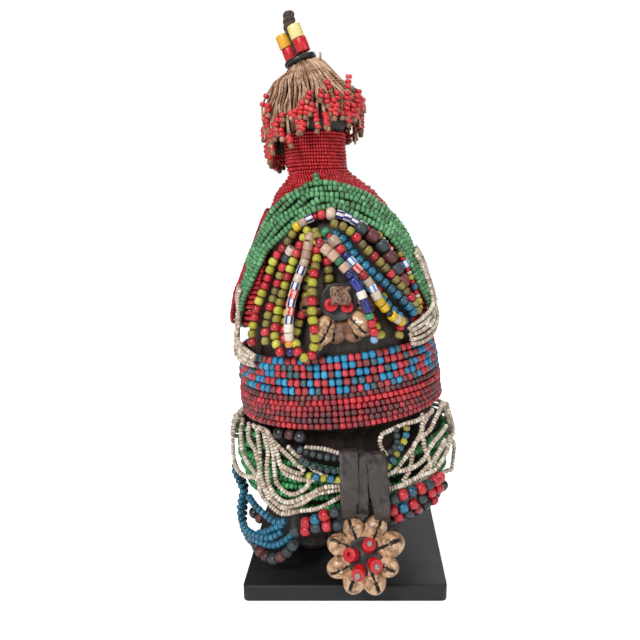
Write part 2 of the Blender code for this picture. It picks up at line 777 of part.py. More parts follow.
def build():
    clear_scene()
    finish = make_finishes()
    make_base(finish["black"])
    make_figure(finish["wood"])
    make_wig(finish["string"])
    make_ring(finish["ring"])
    make_tube_beads(finish)
    make_top_cord(finish["cord"])

    first = GAP * 2
    second = first + RED_BEAD + EASE
    wrap("neck_wrap", NECK_TOP, NECK_ROWS, RED_BEAD, RED_BEAD, first, finish["red"])
    rib = ROWS_PER_RIB * RED_BEAD
    ribs = SHOULDER_ROWS // ROWS_PER_RIB
    shoulder_top = below(NECK_TOP, RED_BEAD, NECK_ROWS)
    wrap("shoulder_wrap", shoulder_top, ribs, rib, RED_BEAD, first, finish["red"])
    mantle_top = below(shoulder_top, rib, ribs)
    wrap(
        "back_mantle", mantle_top, MANTLE_ROWS // ROWS_PER_RIB, rib, RED_BEAD, first, finish["red"],
        sides=14, start=54.0, sweep=252.0,
    )
    band("green_mantle", GREEN_ROUTE, GREEN_ROWS, GREEN_BEAD, second, finish["green"], steps=1)
    for name, colour, route in NECKLACES:
        strand(name, route, NECKLACE_BEAD, finish[colour])
    strand("slate_chest_strand", SLATE_CHEST, SLATE_BEAD, finish["slate"])
    strand("large_shoulder_strand", LARGE_STRAND, LARGE_BEAD, finish["slate"])

    wrap("belt_blue_red", BELT_TOP, BELT_ROWS, BELT_BEAD, BELT_BEAD, first, finish["blue"])
    lower_top = below(BELT_TOP, BELT_BEAD, BELT_ROWS)
    wrap(
        "belt_dark_red", lower_top, LOWER_BELT_ROWS, LOWER_BELT_BEAD, LOWER_BELT_BEAD, first,
        finish["dark_red"],
    )

    third = second + GREEN_BEAD + GAP
    band("red_side_loop", RED_LOOP, 2, RED_BEAD, first + RED_BEAD + GAP, finish["red"], steps=1, closed=False)
    band("cream_side_left", CREAM_LEFT, 2, CREAM_BEAD, third, finish["cream"], steps=1, closed=False)
    band("cream_side_right", CREAM_RIGHT, 3, CREAM_BEAD, third, finish["cream"], steps=1, closed=False)

    make_hank(finish["green"])
    band(
        "cream_waist_strands", CREAM_ROUTE, CREAM_ROWS, CREAM_BEAD, EASE, finish["cream"],
        form=WAIST, steps=2, spread=cream_spread,
    )
    for name, colour, bead, route in WAIST_LOOPS:
        strand(name, route, bead, finish[colour], form=WAIST)
    make_clasp(finish["leather"])

    chest = frame_at(lifted(CHEST_PLACE[0], CHEST_PLACE[1], EASE), outward(*CHEST_PLACE))
    cowrie_fan("chest_cowries", chest, 5, 67.5, 225.0, finish["cowrie"])
    hip = frame_at(Vector((HIP_X * UNIT, -HIP_BACK, HIP_Z)), Vector((0, -1, HIP_TILT)))
    cowrie_fan("hip_cowries", hip, 8, 0.0, 360.0, finish["cowrie"])
    middle = COWRIE_HEIGHT * COWRIE_RAYS[0][1] + GAP
    for name, frame in (("chest_disc", chest), ("hip_disc", hip)):
        above = frame @ Matrix.Translation((0, 0, middle))
        add_mesh(name, place(pebble(DISC_RADIUS, DISC_HEIGHT, 12), above), finish["slate"])
        over = above @ Matrix.Translation((0, 0, DISC_HEIGHT + GAP))
        for kind, colour, x, y, radius, height in PENDANT_TRIM[name]:
            spot = over @ Matrix.Translation((x, y, 0))
            add_mesh(kind, place(pebble(radius, height, 8), spot), finish[colour])


build()
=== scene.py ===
import math
import random

import bpy
import numpy as np
from mathutils import Matrix, Vector


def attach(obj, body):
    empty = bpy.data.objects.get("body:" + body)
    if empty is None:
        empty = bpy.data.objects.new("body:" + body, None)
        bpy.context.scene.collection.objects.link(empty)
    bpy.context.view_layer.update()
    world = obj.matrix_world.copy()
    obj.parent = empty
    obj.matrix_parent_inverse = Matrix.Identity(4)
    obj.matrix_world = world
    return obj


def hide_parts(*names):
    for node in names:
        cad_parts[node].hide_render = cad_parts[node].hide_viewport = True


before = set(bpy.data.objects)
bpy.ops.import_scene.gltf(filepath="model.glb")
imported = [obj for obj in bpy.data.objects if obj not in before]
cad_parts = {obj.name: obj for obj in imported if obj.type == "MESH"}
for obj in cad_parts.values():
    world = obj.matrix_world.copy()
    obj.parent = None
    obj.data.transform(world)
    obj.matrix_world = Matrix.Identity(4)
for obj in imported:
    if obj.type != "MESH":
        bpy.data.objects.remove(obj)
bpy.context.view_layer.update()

# Camera, floor and light
# A plain white table, and a soft studio light from the upper front.
scene = bpy.context.scene
scene.view_settings.view_transform = "Standard"

camera_data = bpy.data.cameras.new("camera")
camera_data.sensor_width = 36.0
camera_data.lens = 36.0
camera_data.shift_x = -0.0656
camera_data.clip_start = 0.02
camera = bpy.data.objects.new("camera", camera_data)
camera.location = (0.0099, -0.3955, 0.2367)
camera.rotation_euler = (math.radians(90 - 11.48), 0.0, 0.0)
scene.collection.objects.link(camera)
scene.camera = camera


def only(thing=None):
    """Leaves nothing selected but this object."""
    if bpy.context.mode != "OBJECT":
        bpy.ops.object.mode_set(mode="OBJECT")
    bpy.ops.object.select_all(action="DESELECT")
    if thing:
        thing.select_set(True)
        bpy.context.view_layer.objects.active = thing


def nodes_of(tree):
    """Short ways to add a node and to link two sockets in a node tree."""
    def add(kind, **settings):
        made = tree.nodes.new(kind)
        for key, value in settings.items():
            if key.startswith("in_"):
                made.inputs[int(key[3:])].default_value = value
            else:
                setattr(made, key, value)
        return made
    return add, tree.links.new


world = bpy.data.worlds.new("studio")
world.use_nodes = True
scene.world = world
add, link = nodes_of(world.node_tree)
world.node_tree.nodes.clear()
to_camera = add("ShaderNodeLightPath")
seen = add("ShaderNodeBackground", in_0=(1.0, 1.0, 1.0, 1.0), in_1=1.0)
lit = add("ShaderNodeBackground", in_0=(0.93, 0.96, 1.0, 1.0), in_1=0.16)
both = add("ShaderNodeMixShader")
link(to_camera.outputs["Is Camera Ray"], both.inputs[0])
link(lit.outputs[0], both.inputs[1])
link(seen.outputs[0], both.inputs[2])
link(both.outputs[0], add("ShaderNodeOutputWorld").inputs[0])

for name, place, size, power in (
    ("key_light", (-0.42, -0.75, 0.78), 0.34, 8.6),
    ("fill_light", (0.60, -0.62, 0.42), 0.50, 2.2),
    ("top_light", (0.0, 0.15, 0.95), 0.40, 2.4),
    ("back_light", (0.35, 0.70, 0.55), 0.50, 2.6),
):
    lamp_data = bpy.data.lights.new(name, "AREA")
    lamp_data.size = size
    lamp_data.energy = power
    lamp = bpy.data.objects.new(name, lamp_data)
    lamp.location = place
    lamp.rotation_euler = (Vector((0, 0, 0.16)) - Vector(place)).to_track_quat("-Z", "Y").to_euler()
    scene.collection.objects.link(lamp)

only()
bpy.ops.mesh.primitive_plane_add(size=8.0, location=(0, 0, 0))
floor = bpy.context.object
floor.name = "floor"
paper = bpy.data.materials.new("white_table")
paper.use_nodes = True
paper_shader = paper.node_tree.nodes["Principled BSDF"]
paper_shader.inputs["Base Color"].default_value = (0.92, 0.92, 0.92, 1.0)
paper_shader.inputs["Roughness"].default_value = 0.9
paper_shader.inputs["Specular IOR Level"].default_value = 0.0
paper_shader.inputs["Emission Color"].default_value = (1.0, 1.0, 1.0, 1.0)
add, link = nodes_of(paper.node_tree)
distance = add("ShaderNodeVectorMath", operation="LENGTH")
link(add("ShaderNodeTexCoord").outputs["Object"], distance.inputs[0])
glow = add("ShaderNodeMapRange", interpolation_type="SMOOTHSTEP", in_1=0.10, in_2=0.42, in_3=0.72, in_4=1.0)
link(distance.outputs["Value"], glow.inputs[0])
by_camera = add("ShaderNodeMath", operation="MULTIPLY_ADD", in_1=0.75, in_2=0.25)
link(add("ShaderNodeLightPath").outputs["Is Camera Ray"], by_camera.inputs[0])
strength = add("ShaderNodeMath", operation="MULTIPLY")
link(glow.outputs[0], strength.inputs[0])
link(by_camera.outputs[0], strength.inputs[1])
link(strength.outputs[0], paper_shader.inputs["Emission Strength"])
floor.data.materials.append(paper)


# Base
# A square block of black painted wood, its corners rounded and its top edge eased.
# The paint is thin and matt, with dust in the grain.
BASE_WIDTH = 0.120
BASE_HEIGHT = 0.010


def pick(thing, test, kind="VERT"):
    """Enters edit mode with only those vertices, edges or faces selected whose middle passes a test."""
    bpy.ops.object.mode_set(mode="OBJECT")
    mesh = thing.data
    for items in (mesh.vertices, mesh.edges, mesh.polygons):
        items.foreach_set("select", [False] * len(items))
    if kind == "VERT":
        for vertex in mesh.vertices:
            vertex.select = test(vertex.co)
    elif kind == "EDGE":
        for edge in mesh.edges:
            edge.select = test(*(mesh.vertices[k].co for k in edge.vertices))
    else:
        for face in mesh.polygons:
            face.select = test(face.center)
    bpy.context.tool_settings.mesh_select_mode = (kind == "VERT", kind == "EDGE", kind == "FACE")
    bpy.ops.object.mode_set(mode="EDIT")


def apply_all(thing):
    """Applies each modifier in turn, as it stands."""
    only(thing)
    for modifier in list(thing.modifiers):
        bpy.ops.object.modifier_apply(modifier=modifier.name)


def finish_shape(thing, angle=None):
    """Smooth shading, and the object's place put into its mesh."""
    only(thing)
    if angle is None:
        bpy.ops.object.shade_smooth()
    else:
        bpy.ops.object.shade_smooth_by_angle(angle=math.radians(angle))
    bpy.ops.object.transform_apply(location=True, rotation=True, scale=True)
    return thing


def effect(name, inputs, outputs):
    """A shader node group with named inputs (name, kind, value) and outputs (name, kind)."""
    group = bpy.data.node_groups.new(name, "ShaderNodeTree")
    for label, kind, value in inputs:
        socket = group.interface.new_socket(name=label, in_out="INPUT", socket_type="NodeSocket" + kind)
        socket.default_value = value
    for label, kind in outputs:
        group.interface.new_socket(name=label, in_out="OUTPUT", socket_type="NodeSocket" + kind)
    grab = group.nodes.new("NodeGroupInput")
    give = group.nodes.new("NodeGroupOutput")
    return group, grab, give


def mixing(add, link, factor, first, second, blend="MIX"):
    """A colour mix whose factor and colours are sockets or plain values."""
    made = add("ShaderNodeMix", data_type="RGBA", blend_type=blend)
    for index, value in ((0, factor), (6, first), (7, second)):
        if isinstance(value, bpy.types.NodeSocket):
            link(value, made.inputs[index])
        else:
            made.inputs[index].default_value = value
    return made.outputs[2]


def maths(add, link, operation, *values, clamp=False):
    """A Math node over sockets or plain numbers."""
    made = add("ShaderNodeMath", operation=operation, use_clamp=clamp)
    for index, value in enumerate(values):
        if isinstance(value, bpy.types.NodeSocket):
            link(value, made.inputs[index])
        else:
            made.inputs[index].default_value = value
    return made.outputs[0]


def ramp(add, link, value, low, high, to_low=0.0, to_high=1.0):
    """A smooth step between two levels of a value."""
    made = add("ShaderNodeMapRange", interpolation_type="SMOOTHSTEP", clamp=True)
    for index, number in ((1, low), (2, high), (3, to_low), (4, to_high)):
        made.inputs[index].default_value = number
    link(value, made.inputs[0])
    return made.outputs[0]


def speckle(add, link, coordinates, scale, detail=4.0, roughness=0.6, stretch=None, lift=0.0):
    """Noise over a set of coordinates, stretched along an axis where that is given."""
    if stretch:
        turned = add("ShaderNodeMapping", in_3=stretch)
        link(coordinates, turned.inputs[0])
        coordinates = turned.outputs[0]
    made = add("ShaderNodeTexNoise")
    settings = {"Scale": scale, "Detail": detail, "Roughness": roughness, "Distortion": lift}
    for label, number in settings.items():
        made.inputs[label].default_value = number
    link(coordinates, made.inputs["Vector"])
    return made.outputs[0]


def surface_group():
    """Old painted or bare wood: grain along one way, dust that lies on it and wear."""
    group, grab, give = effect(
        "old_wood",
        (("Wood", "Color", (0.05, 0.03, 0.02, 1)), ("Dark Grain", "Color", (0.01, 0.008, 0.006, 1)),
         ("Dust", "Color", (0.2, 0.18, 0.16, 1)), ("Grain Scale", "Float", 60.0),
         ("Stretch", "Vector", (1, 1, 1)), ("Dust Amount", "Float", 0.3), ("Roughness", "Float", 0.6)),
        (("Color", "Color"), ("Roughness", "Float"), ("Height", "Float")),
    )
    add, link = nodes_of(group)
    place = add("ShaderNodeTexCoord").outputs["Object"]
    turned = add("ShaderNodeMapping")
    link(place, turned.inputs[0])
    link(grab.outputs["Stretch"], turned.inputs[3])
    grain = add("ShaderNodeTexNoise")
    grain.inputs["Detail"].default_value = 8.0
    grain.inputs["Roughness"].default_value = 0.65
    grain.inputs["Distortion"].default_value = 0.4
    link(turned.outputs[0], grain.inputs["Vector"])
    link(grab.outputs["Grain Scale"], grain.inputs["Scale"])
    lines = ramp(add, link, grain.outputs[0], 0.36, 0.66)
    blotch = speckle(add, link, place, 95.0, 3.0)
    dust = speckle(add, link, place, 900.0, 6.0, 0.75)
    base = mixing(add, link, lines, grab.outputs["Dark Grain"], grab.outputs["Wood"])
    shade = ramp(add, link, blotch, 0.3, 0.7, 0.72, 1.12)
    base = mixing(add, link, 1.0, base, shade, "MULTIPLY")
    lying = maths(
        add, link, "MULTIPLY", ramp(add, link, dust, 0.55, 0.78), grab.outputs["Dust Amount"], clamp=True,
    )
    link(mixing(add, link, lying, base, grab.outputs["Dust"]), give.inputs["Color"])
    rough = maths(
        add, link, "ADD", grab.outputs["Roughness"], maths(add, link, "MULTIPLY", lying, 0.4), clamp=True,
    )
    link(rough, give.inputs["Roughness"])
    link(maths(add, link, "ADD", lines, maths(add, link, "MULTIPLY", dust, 0.35)), give.inputs["Height"])
    return group


OLD_WOOD = surface_group()


def finish_from(name, group, values, bump=0.0003, strength=0.5, **shader_values):
    """A material whose colour, roughness and relief come from one of the shared effects."""
    made = bpy.data.materials.new(name)
    made.use_nodes = True
    add, link = nodes_of(made.node_tree)
    shader = made.node_tree.nodes["Principled BSDF"]
    body = add("ShaderNodeGroup", node_tree=group)
    for label, value in values.items():
        body.inputs[label].default_value = value
    relief = add("ShaderNodeBump")
    relief.inputs["Strength"].default_value = strength
    relief.inputs["Distance"].default_value = bump
    link(body.outputs["Height"], relief.inputs["Height"])
    link(body.outputs["Color"], shader.inputs["Base Color"])
    link(body.outputs["Roughness"], shader.inputs["Roughness"])
    link(relief.outputs[0], shader.inputs["Normal"])
    for label, value in shader_values.items():
        shader.inputs[label.replace("_", " ")].default_value = value
    return made


black_paint = finish_from("black_paint", OLD_WOOD, {
    "Wood": (0.0105, 0.0105, 0.0135, 1), "Dark Grain": (0.006, 0.006, 0.0075, 1),
    "Dust": (0.16, 0.16, 0.17, 1), "Grain Scale": 70.0, "Stretch": (0.25, 1.6, 1.6),
    "Dust Amount": 0.16, "Roughness": 0.58,
}, bump=0.00012, strength=0.6)

only()
bpy.ops.mesh.primitive_cube_add(
    size=1.0, location=(0, 0, BASE_HEIGHT / 2), scale=(BASE_WIDTH, BASE_WIDTH, BASE_HEIGHT),
)
base = bpy.context.object
base.name = "base_block"
bpy.ops.object.transform_apply(location=True, rotation=True, scale=True)
pick(base, lambda a, b: abs(a.z - b.z) > BASE_HEIGHT / 2, "EDGE")
bpy.ops.mesh.bevel(offset=0.0035, segments=5, profile=0.5, affect="EDGES")
pick(base, lambda a, b: min(a.z, b.z) > BASE_HEIGHT * 0.99, "EDGE")
bpy.ops.mesh.bevel(offset=0.0012, segments=4, profile=0.5, affect="EDGES")
pick(base, lambda a, b: max(a.z, b.z) < BASE_HEIGHT * 0.01, "EDGE")
bpy.ops.mesh.bevel(offset=0.0004, segments=2, profile=0.5, affect="EDGES")
finish_shape(base, 40)
base.data.materials.append(black_paint)
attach(base, "root")
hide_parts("base")


# Carved figure
# A single piece of dark hardwood: two short legs, a broad trunk, a long neck and a small head.
# It is smoothed and blackened by handling, with fine checks along the grain.
def copied_node(name, title):
    """A copy of a CAD node's mesh, its loose triangles merged, as an object of its own."""
    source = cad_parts[name]
    made = bpy.data.objects.new(title, source.data.copy())
    made.data.materials.clear()
    scene.collection.objects.link(made)
    only(made)
    bpy.ops.object.mode_set(mode="EDIT")
    bpy.ops.mesh.select_all(action="SELECT")
    bpy.ops.mesh.remove_doubles(threshold=0.00002)
    bpy.ops.mesh.normals_make_consistent(inside=False)
    bpy.ops.object.mode_set(mode="OBJECT")
    return made


figure = copied_node("figure", "carved_figure")
voxels = figure.modifiers.new("voxels", "REMESH")
voxels.mode = "VOXEL"
voxels.voxel_size = 0.0026
smoothing = figure.modifiers.new("smoothing", "SMOOTH")
smoothing.factor = 0.5
smoothing.iterations = 6
apply_all(figure)
tool_marks = bpy.data.textures.new("tool_marks", "CLOUDS")
tool_marks.noise_scale = 0.012
marks = figure.modifiers.new("tool_marks", "DISPLACE")
marks.texture = tool_marks
marks.strength = 0.0010
marks.mid_level = 0.62
apply_all(figure)
finish_shape(figure)
dark_wood = finish_from("dark_wood", OLD_WOOD, {
    "Wood": (0.045, 0.027, 0.020, 1), "Dark Grain": (0.010, 0.0065, 0.005, 1),
    "Dust": (0.09, 0.055, 0.04, 1), "Grain Scale": 240.0, "Stretch": (1.0, 1.0, 0.09),
    "Dust Amount": 0.35, "Roughness": 0.5,
}, bump=0.0004, strength=0.8)
figure.data.materials.append(dark_wood)
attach(figure, "root")
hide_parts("figure")


# Red neck and shoulder strands
# Small red glass seed beads on thread, wound row on row round the neck and draped over the shoulders
# and the back. Each bead is a short glass ring, a little uneven, with old grease and dust at its hole,
# and painted shade there too where the beads meet.
FOOT = 10.3
MM = 0.001
BODY = np.array((
    (44, 47, 36, 36), (56, 50, 40, 40), (70, 47, 38, 38), (82, 45, 37, 37), (88, 48, 40, 39),
    (92, 60, 50, 46), (110, 59.5, 50, 46), (127, 57, 49, 44.5), (140, 55.5, 48, 43), (150, 54.5, 46, 41),
    (162, 53, 43, 38), (180, 47.5, 39.5, 34), (195, 42, 36.5, 31), (208, 36.5, 32.5, 28),
    (218, 31.5, 27.5, 25), (226, 25.5, 22, 22), (231, 19.5, 18.8, 18.5), (235, 15.5, 15.5, 15.5),
    (261, 15.5, 15.5, 15.5), (262.5, 19, 19.5, 19.5), (268, 20.5, 21, 21), (275, 19.5, 20, 20),
    (281, 14.5, 15, 15), (286, 9, 9.5, 9.5), (290, 4, 4.5, 4.5),
))
LEAN = np.array((
    (0, -2), (94, -2.7), (133, -6), (196, -8), (216, -10), (230, -13), (240, -17.5), (258, -18.5),
    (281, -18.7), (301, -26), (325, -33),
))
SLANT = np.array(((82, 0.0), (92, 0.08), (140, 0.08), (162, 0.0)))


def surface(angle, height, form=BODY):
    """Points on the figure in mm at angles round it, 0 at the front and 90 toward +X, and at heights."""
    turn = np.radians(angle)
    half, front, back = (np.interp(height, form[:, 0], form[:, k]) for k in (1, 2, 3))
    depth = np.where(np.cos(turn) > 0, front, back)
    across = half * np.sin(turn)
    rise = np.interp(height, SLANT[:, 0], SLANT[:, 1]) * across
    middle = np.interp(height, LEAN[:, 0], LEAN[:, 1])
    return np.stack((middle + across, -depth * np.cos(turn), FOOT + height + rise), -1)


def unit(vectors):
    """The same directions, each 1 long."""
    return vectors / np.maximum(np.linalg.norm(vectors, axis=-1, keepdims=True), 1e-9)


def outward(angle, height, form=BODY):
    """The way straight out of the figure at each place."""
    along = surface(angle + 2, height, form) - surface(angle - 2, height, form)
    upward = surface(angle, height + 1.6, form) - surface(angle, height - 1.6, form)
    return unit(np.cross(along, upward))


def laid(angle, height, lift, form=BODY):
    """A line of points lifted off the figure, with the way out at each, in mm."""
    angle, height = np.broadcast_arrays(np.asarray(angle, float), np.asarray(height, float))
    out = outward(angle, height, form)
    return surface(angle, height, form) + out * np.reshape(lift, (-1, 1)), out


def smooth_line(points, steps=10, closed=False):
    """A smooth curve through a few points of any width."""
    rows = np.array(points, float)
    count = len(rows)
    if closed:
        around = np.zeros(rows.shape[1])
        around[0] = 360.0
        rows = np.vstack((rows[-1] - around, rows, rows[0] + around, rows[1] + around))
        spans = count
    else:
        rows = np.vstack((rows[0], rows, rows[-1]))
        spans = count - 1
    found = []
    share = np.linspace(0, 1, steps, endpoint=False)[:, None]
    for k in range(spans):
        a, b, c, d = rows[k:k + 4]
        found.append(0.5 * (
            2 * b + (c - a) * share + (2 * a - 5 * b + 4 * c - d) * share ** 2
            + (3 * b - 3 * c + d - a) * share ** 3
        ))
    found.append(rows[spans + 1][None])
    return np.vstack(found)


def bead_shape(name, sides, half):
    """One bead of unit radius and half length: a torus whose rings follow a profile, given rim to hole."""
    profile = half + tuple((radius, -height) for radius, height in half[::-1])
    only()
    bpy.ops.mesh.primitive_torus_add(
        major_segments=sides, minor_segments=len(profile), major_radius=0.7, minor_radius=0.3,
        generate_uvs=True,
    )
    bead = bpy.context.object
    bead.name = name
    mesh = bead.data
    for k, vertex in enumerate(mesh.vertices):
        radius, height = profile[k % len(profile)]
        flat = Vector((vertex.co.x, vertex.co.y, 0)).normalized()
        vertex.co = (flat.x * radius, flat.y * radius, height)
    corners = np.array([v.co for v in mesh.vertices])
    hole = min(radius for radius, _ in profile)
    shape = {
        "points": corners,
        "faces": np.array([f.vertices[:] for f in mesh.polygons]),
        "uv": np.array([item.uv[:] for item in mesh.uv_layers.active.data]),
        "end": np.clip(1.0 - (np.hypot(corners[:, 0], corners[:, 1]) - hole) / (1 - hole), 0, 1),
    }
    bpy.data.objects.remove(bead)
    return shape


RING = ((1.0, 0.32), (0.77, 0.88), (0.27, 0.90))
SHAPES = {
    "plain": bead_shape("plain_bead", 6, ((1.0, 0.48), (0.45, 0.96))),
    "seed": bead_shape("seed_bead", 7, RING),
    "ring": bead_shape("ring_bead", 9, RING),
    "ball": bead_shape("ball_bead", 9, ((0.98, 0.32), (0.76, 0.78), (0.28, 0.98))),
    "round": bead_shape("round_bead", 12, ((0.97, 0.30), (0.80, 0.74), (0.46, 0.98), (0.20, 0.90))),
    "tube": bead_shape("tube_bead", 12, ((1.0, 0.74), (0.84, 1.0), (0.28, 0.95))),
}


def thread(points, out, pattern, seed, closed=False, uneven=0.06, wobble=0.05):
    """Beads one after another along a line. The pattern gives each its shape, finish, width and length."""
    rng = random.Random(seed)
    if closed:
        points = np.vstack((points, points[:1]))
        out = np.vstack((out, out[:1]))
    run = np.concatenate(([0.0], np.cumsum(np.linalg.norm(np.diff(points, axis=0), axis=1))))
    made, at, k = [], 0.0, 0
    while True:
        shape, finish, wide, long = pattern(k, rng)
        long *= 1 + rng.uniform(-uneven, uneven) * 1.5
        wide *= 1 + rng.uniform(-uneven, uneven)
        if at + long > run[-1]:
            break
        made.append([at + long / 2, shape, finish, wide, long])
        at += long
        k += 1
    spare = (run[-1] - at) / len(made)
    if not closed:
        spare = min(spare, 0.12 * made[0][4])
    spots = np.array([m[0] + spare * (i + 0.5) for i, m in enumerate(made)])
    lengths = np.array([m[4] for m in made])

    def on_line(where):
        return np.stack([np.interp(where, run, points[:, c]) for c in range(3)], -1)

    centres = on_line(spots)
    axes = unit(on_line(spots + lengths / 2) - on_line(spots - lengths / 2))
    ways = np.stack([np.interp(spots, run, out[:, c]) for c in range(3)], -1)
    beads = []
    for i, (_, shape, finish, wide, long) in enumerate(made):
        tone = rng.uniform(-1, 1)
        tilt = [rng.gauss(0, wobble) for _ in range(3)]
        beads.append((shape, finish, wide, long, centres[i], axes[i] + tilt, ways[i], tone, rng.random()))
    return beads


def bead_piece(name, beads, finishes):
    """All these beads as one mesh, each with its own place, size, tone and cell of the map."""
    cells = int(math.ceil(math.sqrt(len(beads))))
    parts = {"co": [], "faces": [], "uv": [], "map": [], "finish": [], "tone": [], "end": []}
    first = 0
    for shape_name, shape in SHAPES.items():
        mine = [(i, b) for i, b in enumerate(beads) if b[0] == shape_name]
        if not mine:
            continue
        count, corners = len(mine), len(shape["points"])
        axis = unit(np.array([b[5] for _, b in mine]))
        out = np.array([b[6] for _, b in mine])
        out = unit(out - axis * np.sum(out * axis, 1, keepdims=True))
        side = np.cross(axis, out)
        spin = np.array([b[8] for _, b in mine])[:, None] * 2 * np.pi
        turned = out * np.cos(spin) + side * np.sin(spin)
        other = np.cross(axis, turned)
        wide = np.array([b[2] for _, b in mine])[:, None, None] / 2
        long = np.array([b[3] for _, b in mine])[:, None, None] / 2
        local = shape["points"][None]
        places = (
            np.array([b[4] for _, b in mine])[:, None]
            + turned[:, None] * local[..., 0:1] * wide + other[:, None] * local[..., 1:2] * wide
            + axis[:, None] * local[..., 2:3] * long
        )
        parts["co"].append(places.reshape(-1, 3))
        steps = first + np.arange(count) * corners
        parts["faces"].append((shape["faces"][None] + steps[:, None, None]).reshape(-1, 4))
        parts["uv"].append(np.tile(shape["uv"], (count, 1)))
        index = np.array([i for i, _ in mine])
        cell = np.stack((index % cells, index // cells), -1)[:, None]
        parts["map"].append(((cell + 0.06 + 0.88 * shape["uv"][None]) / cells).reshape(-1, 2))
        parts["finish"].append(np.repeat([b[1] for _, b in mine], len(shape["faces"])))
        parts["tone"].append(np.repeat([b[7] for _, b in mine], corners))
        parts["end"].append(np.tile(shape["end"], count))
        first += count * corners
    co, faces, uv, atlas, finish, tone, end = (np.concatenate(parts[key]) for key in parts)
    mesh = bpy.data.meshes.new(name)
    mesh.vertices.add(len(co))
    mesh.vertices.foreach_set("co", (co * MM).ravel())
    mesh.loops.add(faces.size)
    mesh.loops.foreach_set("vertex_index", faces.ravel().astype(np.int32))
    mesh.polygons.add(len(faces))
    mesh.polygons.foreach_set("loop_start", np.arange(len(faces), dtype=np.int32) * 4)
    mesh.polygons.foreach_set("material_index", finish.astype(np.int32))
    mesh.polygons.foreach_set("use_smooth", np.ones(len(faces), bool))
    mesh.uv_layers.new(name="bead").data.foreach_set("uv", uv.ravel())
    mesh.uv_layers.new(name="OFBake").data.foreach_set("uv", atlas.ravel())
    mesh.attributes.new("bead_tone", "FLOAT", "POINT").data.foreach_set("value", tone.astype(np.float32))
    mesh.attributes.new("bead_end", "FLOAT", "POINT").data.foreach_set("value", end.astype(np.float32))
    for finish in finishes:
        mesh.materials.append(finish)
    mesh.update(calc_edges=True)
    mesh.validate()
    made = bpy.data.objects.new(name, mesh)
    scene.collection.objects.link(made)
    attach(made, "root")
    return made


def bead_group():
    """Old trade bead glass: a colour that changes from bead to bead, mottling, and grime with painted shade
    at the hole.
    """
    # The dark colour toward each hole is partly real grime and partly painted shade where the beads meet.
    group, grab, give = effect(
        "bead_glass",
        (("Glass", "Color", (0.4, 0.01, 0.02, 1)), ("Dull", "Color", (0.1, 0.01, 0.02, 1)),
         ("Pale", "Color", (0.6, 0.1, 0.1, 1)), ("Grime And Shade", "Color", (0.05, 0.03, 0.02, 1)),
         ("Dull Share", "Float", 0.3), ("Pale Share", "Float", 0.2), ("Grime And Shade Amount", "Float", 0.6),
         ("Roughness", "Float", 0.3)),
        (("Color", "Color"), ("Roughness", "Float"), ("Height", "Float")),
    )
    add, link = nodes_of(group)
    place = add("ShaderNodeTexCoord").outputs["Object"]
    tone = add("ShaderNodeAttribute", attribute_name="bead_tone").outputs["Fac"]
    end = add("ShaderNodeAttribute", attribute_name="bead_end").outputs["Fac"]
    share = maths(add, link, "MULTIPLY_ADD", tone, 0.5, 0.5)
    dull = maths(
        add, link, "DIVIDE", maths(add, link, "SUBTRACT", grab.outputs["Dull Share"], share), 0.22,
        clamp=True,
    )
    top = maths(add, link, "SUBTRACT", share, maths(add, link, "SUBTRACT", 1.0, grab.outputs["Pale Share"]))
    pale = maths(add, link, "DIVIDE", top, 0.2, clamp=True)
    colour = mixing(add, link, dull, grab.outputs["Glass"], grab.outputs["Dull"])
    colour = mixing(add, link, pale, colour, grab.outputs["Pale"])
    mottle = speckle(add, link, place, 1300.0, 3.0, 0.6)
    light = ramp(add, link, mottle, 0.25, 0.75, 0.78, 1.18)
    colour = mixing(add, link, 1.0, colour, light, "MULTIPLY")
    film = speckle(add, link, place, 420.0, 5.0, 0.7)
    # Painted shade mixed with grime: darker toward the hole, where one bead's end meets the next.
    hole_grime_and_shade = ramp(add, link, end, 0.2, 0.85)
    grime_and_shade_mask = maths(add, link, "ADD", hole_grime_and_shade, ramp(add, link, film, 0.5, 0.8, 0.0, 0.35), clamp=True)
    grime_and_shade_mask = maths(add, link, "MULTIPLY", grime_and_shade_mask, grab.outputs["Grime And Shade Amount"], clamp=True)
    link(mixing(add, link, grime_and_shade_mask, colour, grab.outputs["Grime And Shade"]), give.inputs["Color"])
    rough = maths(add, link, "MULTIPLY_ADD", grime_and_shade_mask, 0.45, grab.outputs["Roughness"])
    rough = maths(add, link, "MULTIPLY_ADD", ramp(add, link, film, 0.35, 0.65), 0.12, rough)
    link(rough, give.inputs["Roughness"])
    pits = speckle(add, link, place, 2600.0, 2.0)
    link(maths(add, link, "ADD", mottle, maths(add, link, "MULTIPLY", pits, 0.5)), give.inputs["Height"])
    return group


BEAD_GLASS = bead_group()


def glass(name, colour, dull, pale, dull_share=0.3, pale_share=0.2, grime_and_shade=0.6, roughness=0.3, coat=0.25):
    """Bead glass in a colour, with how much of it is dull or pale, its grime and painted shade at the hole,
    and its polish.
    """
    # Its grime colour also paints shade near the hole, where the beads meet.
    return finish_from(name, BEAD_GLASS, {
        "Glass": (*colour, 1), "Dull": (*dull, 1), "Pale": (*pale, 1), "Grime And Shade": (0.045, 0.026, 0.018, 1),
        "Dull Share": dull_share, "Pale Share": pale_share, "Grime And Shade Amount": grime_and_shade, "Roughness": roughness,
    }, bump=0.00007, strength=0.5, Coat_Weight=coat, Coat_Roughness=0.25)


red_seed = glass(
    "red_glass", (0.42, 0.003, 0.010), (0.22, 0.002, 0.006), (0.60, 0.015, 0.025),
    0.2, 0.25, 0.6, 0.36, 0.08,
)
GAP = 0.3
EASE = 1.2
RED = 2.7
RED_LONG = 1.95
first_layer = 2 * GAP + RED / 2
NECK_TOP = 259.6


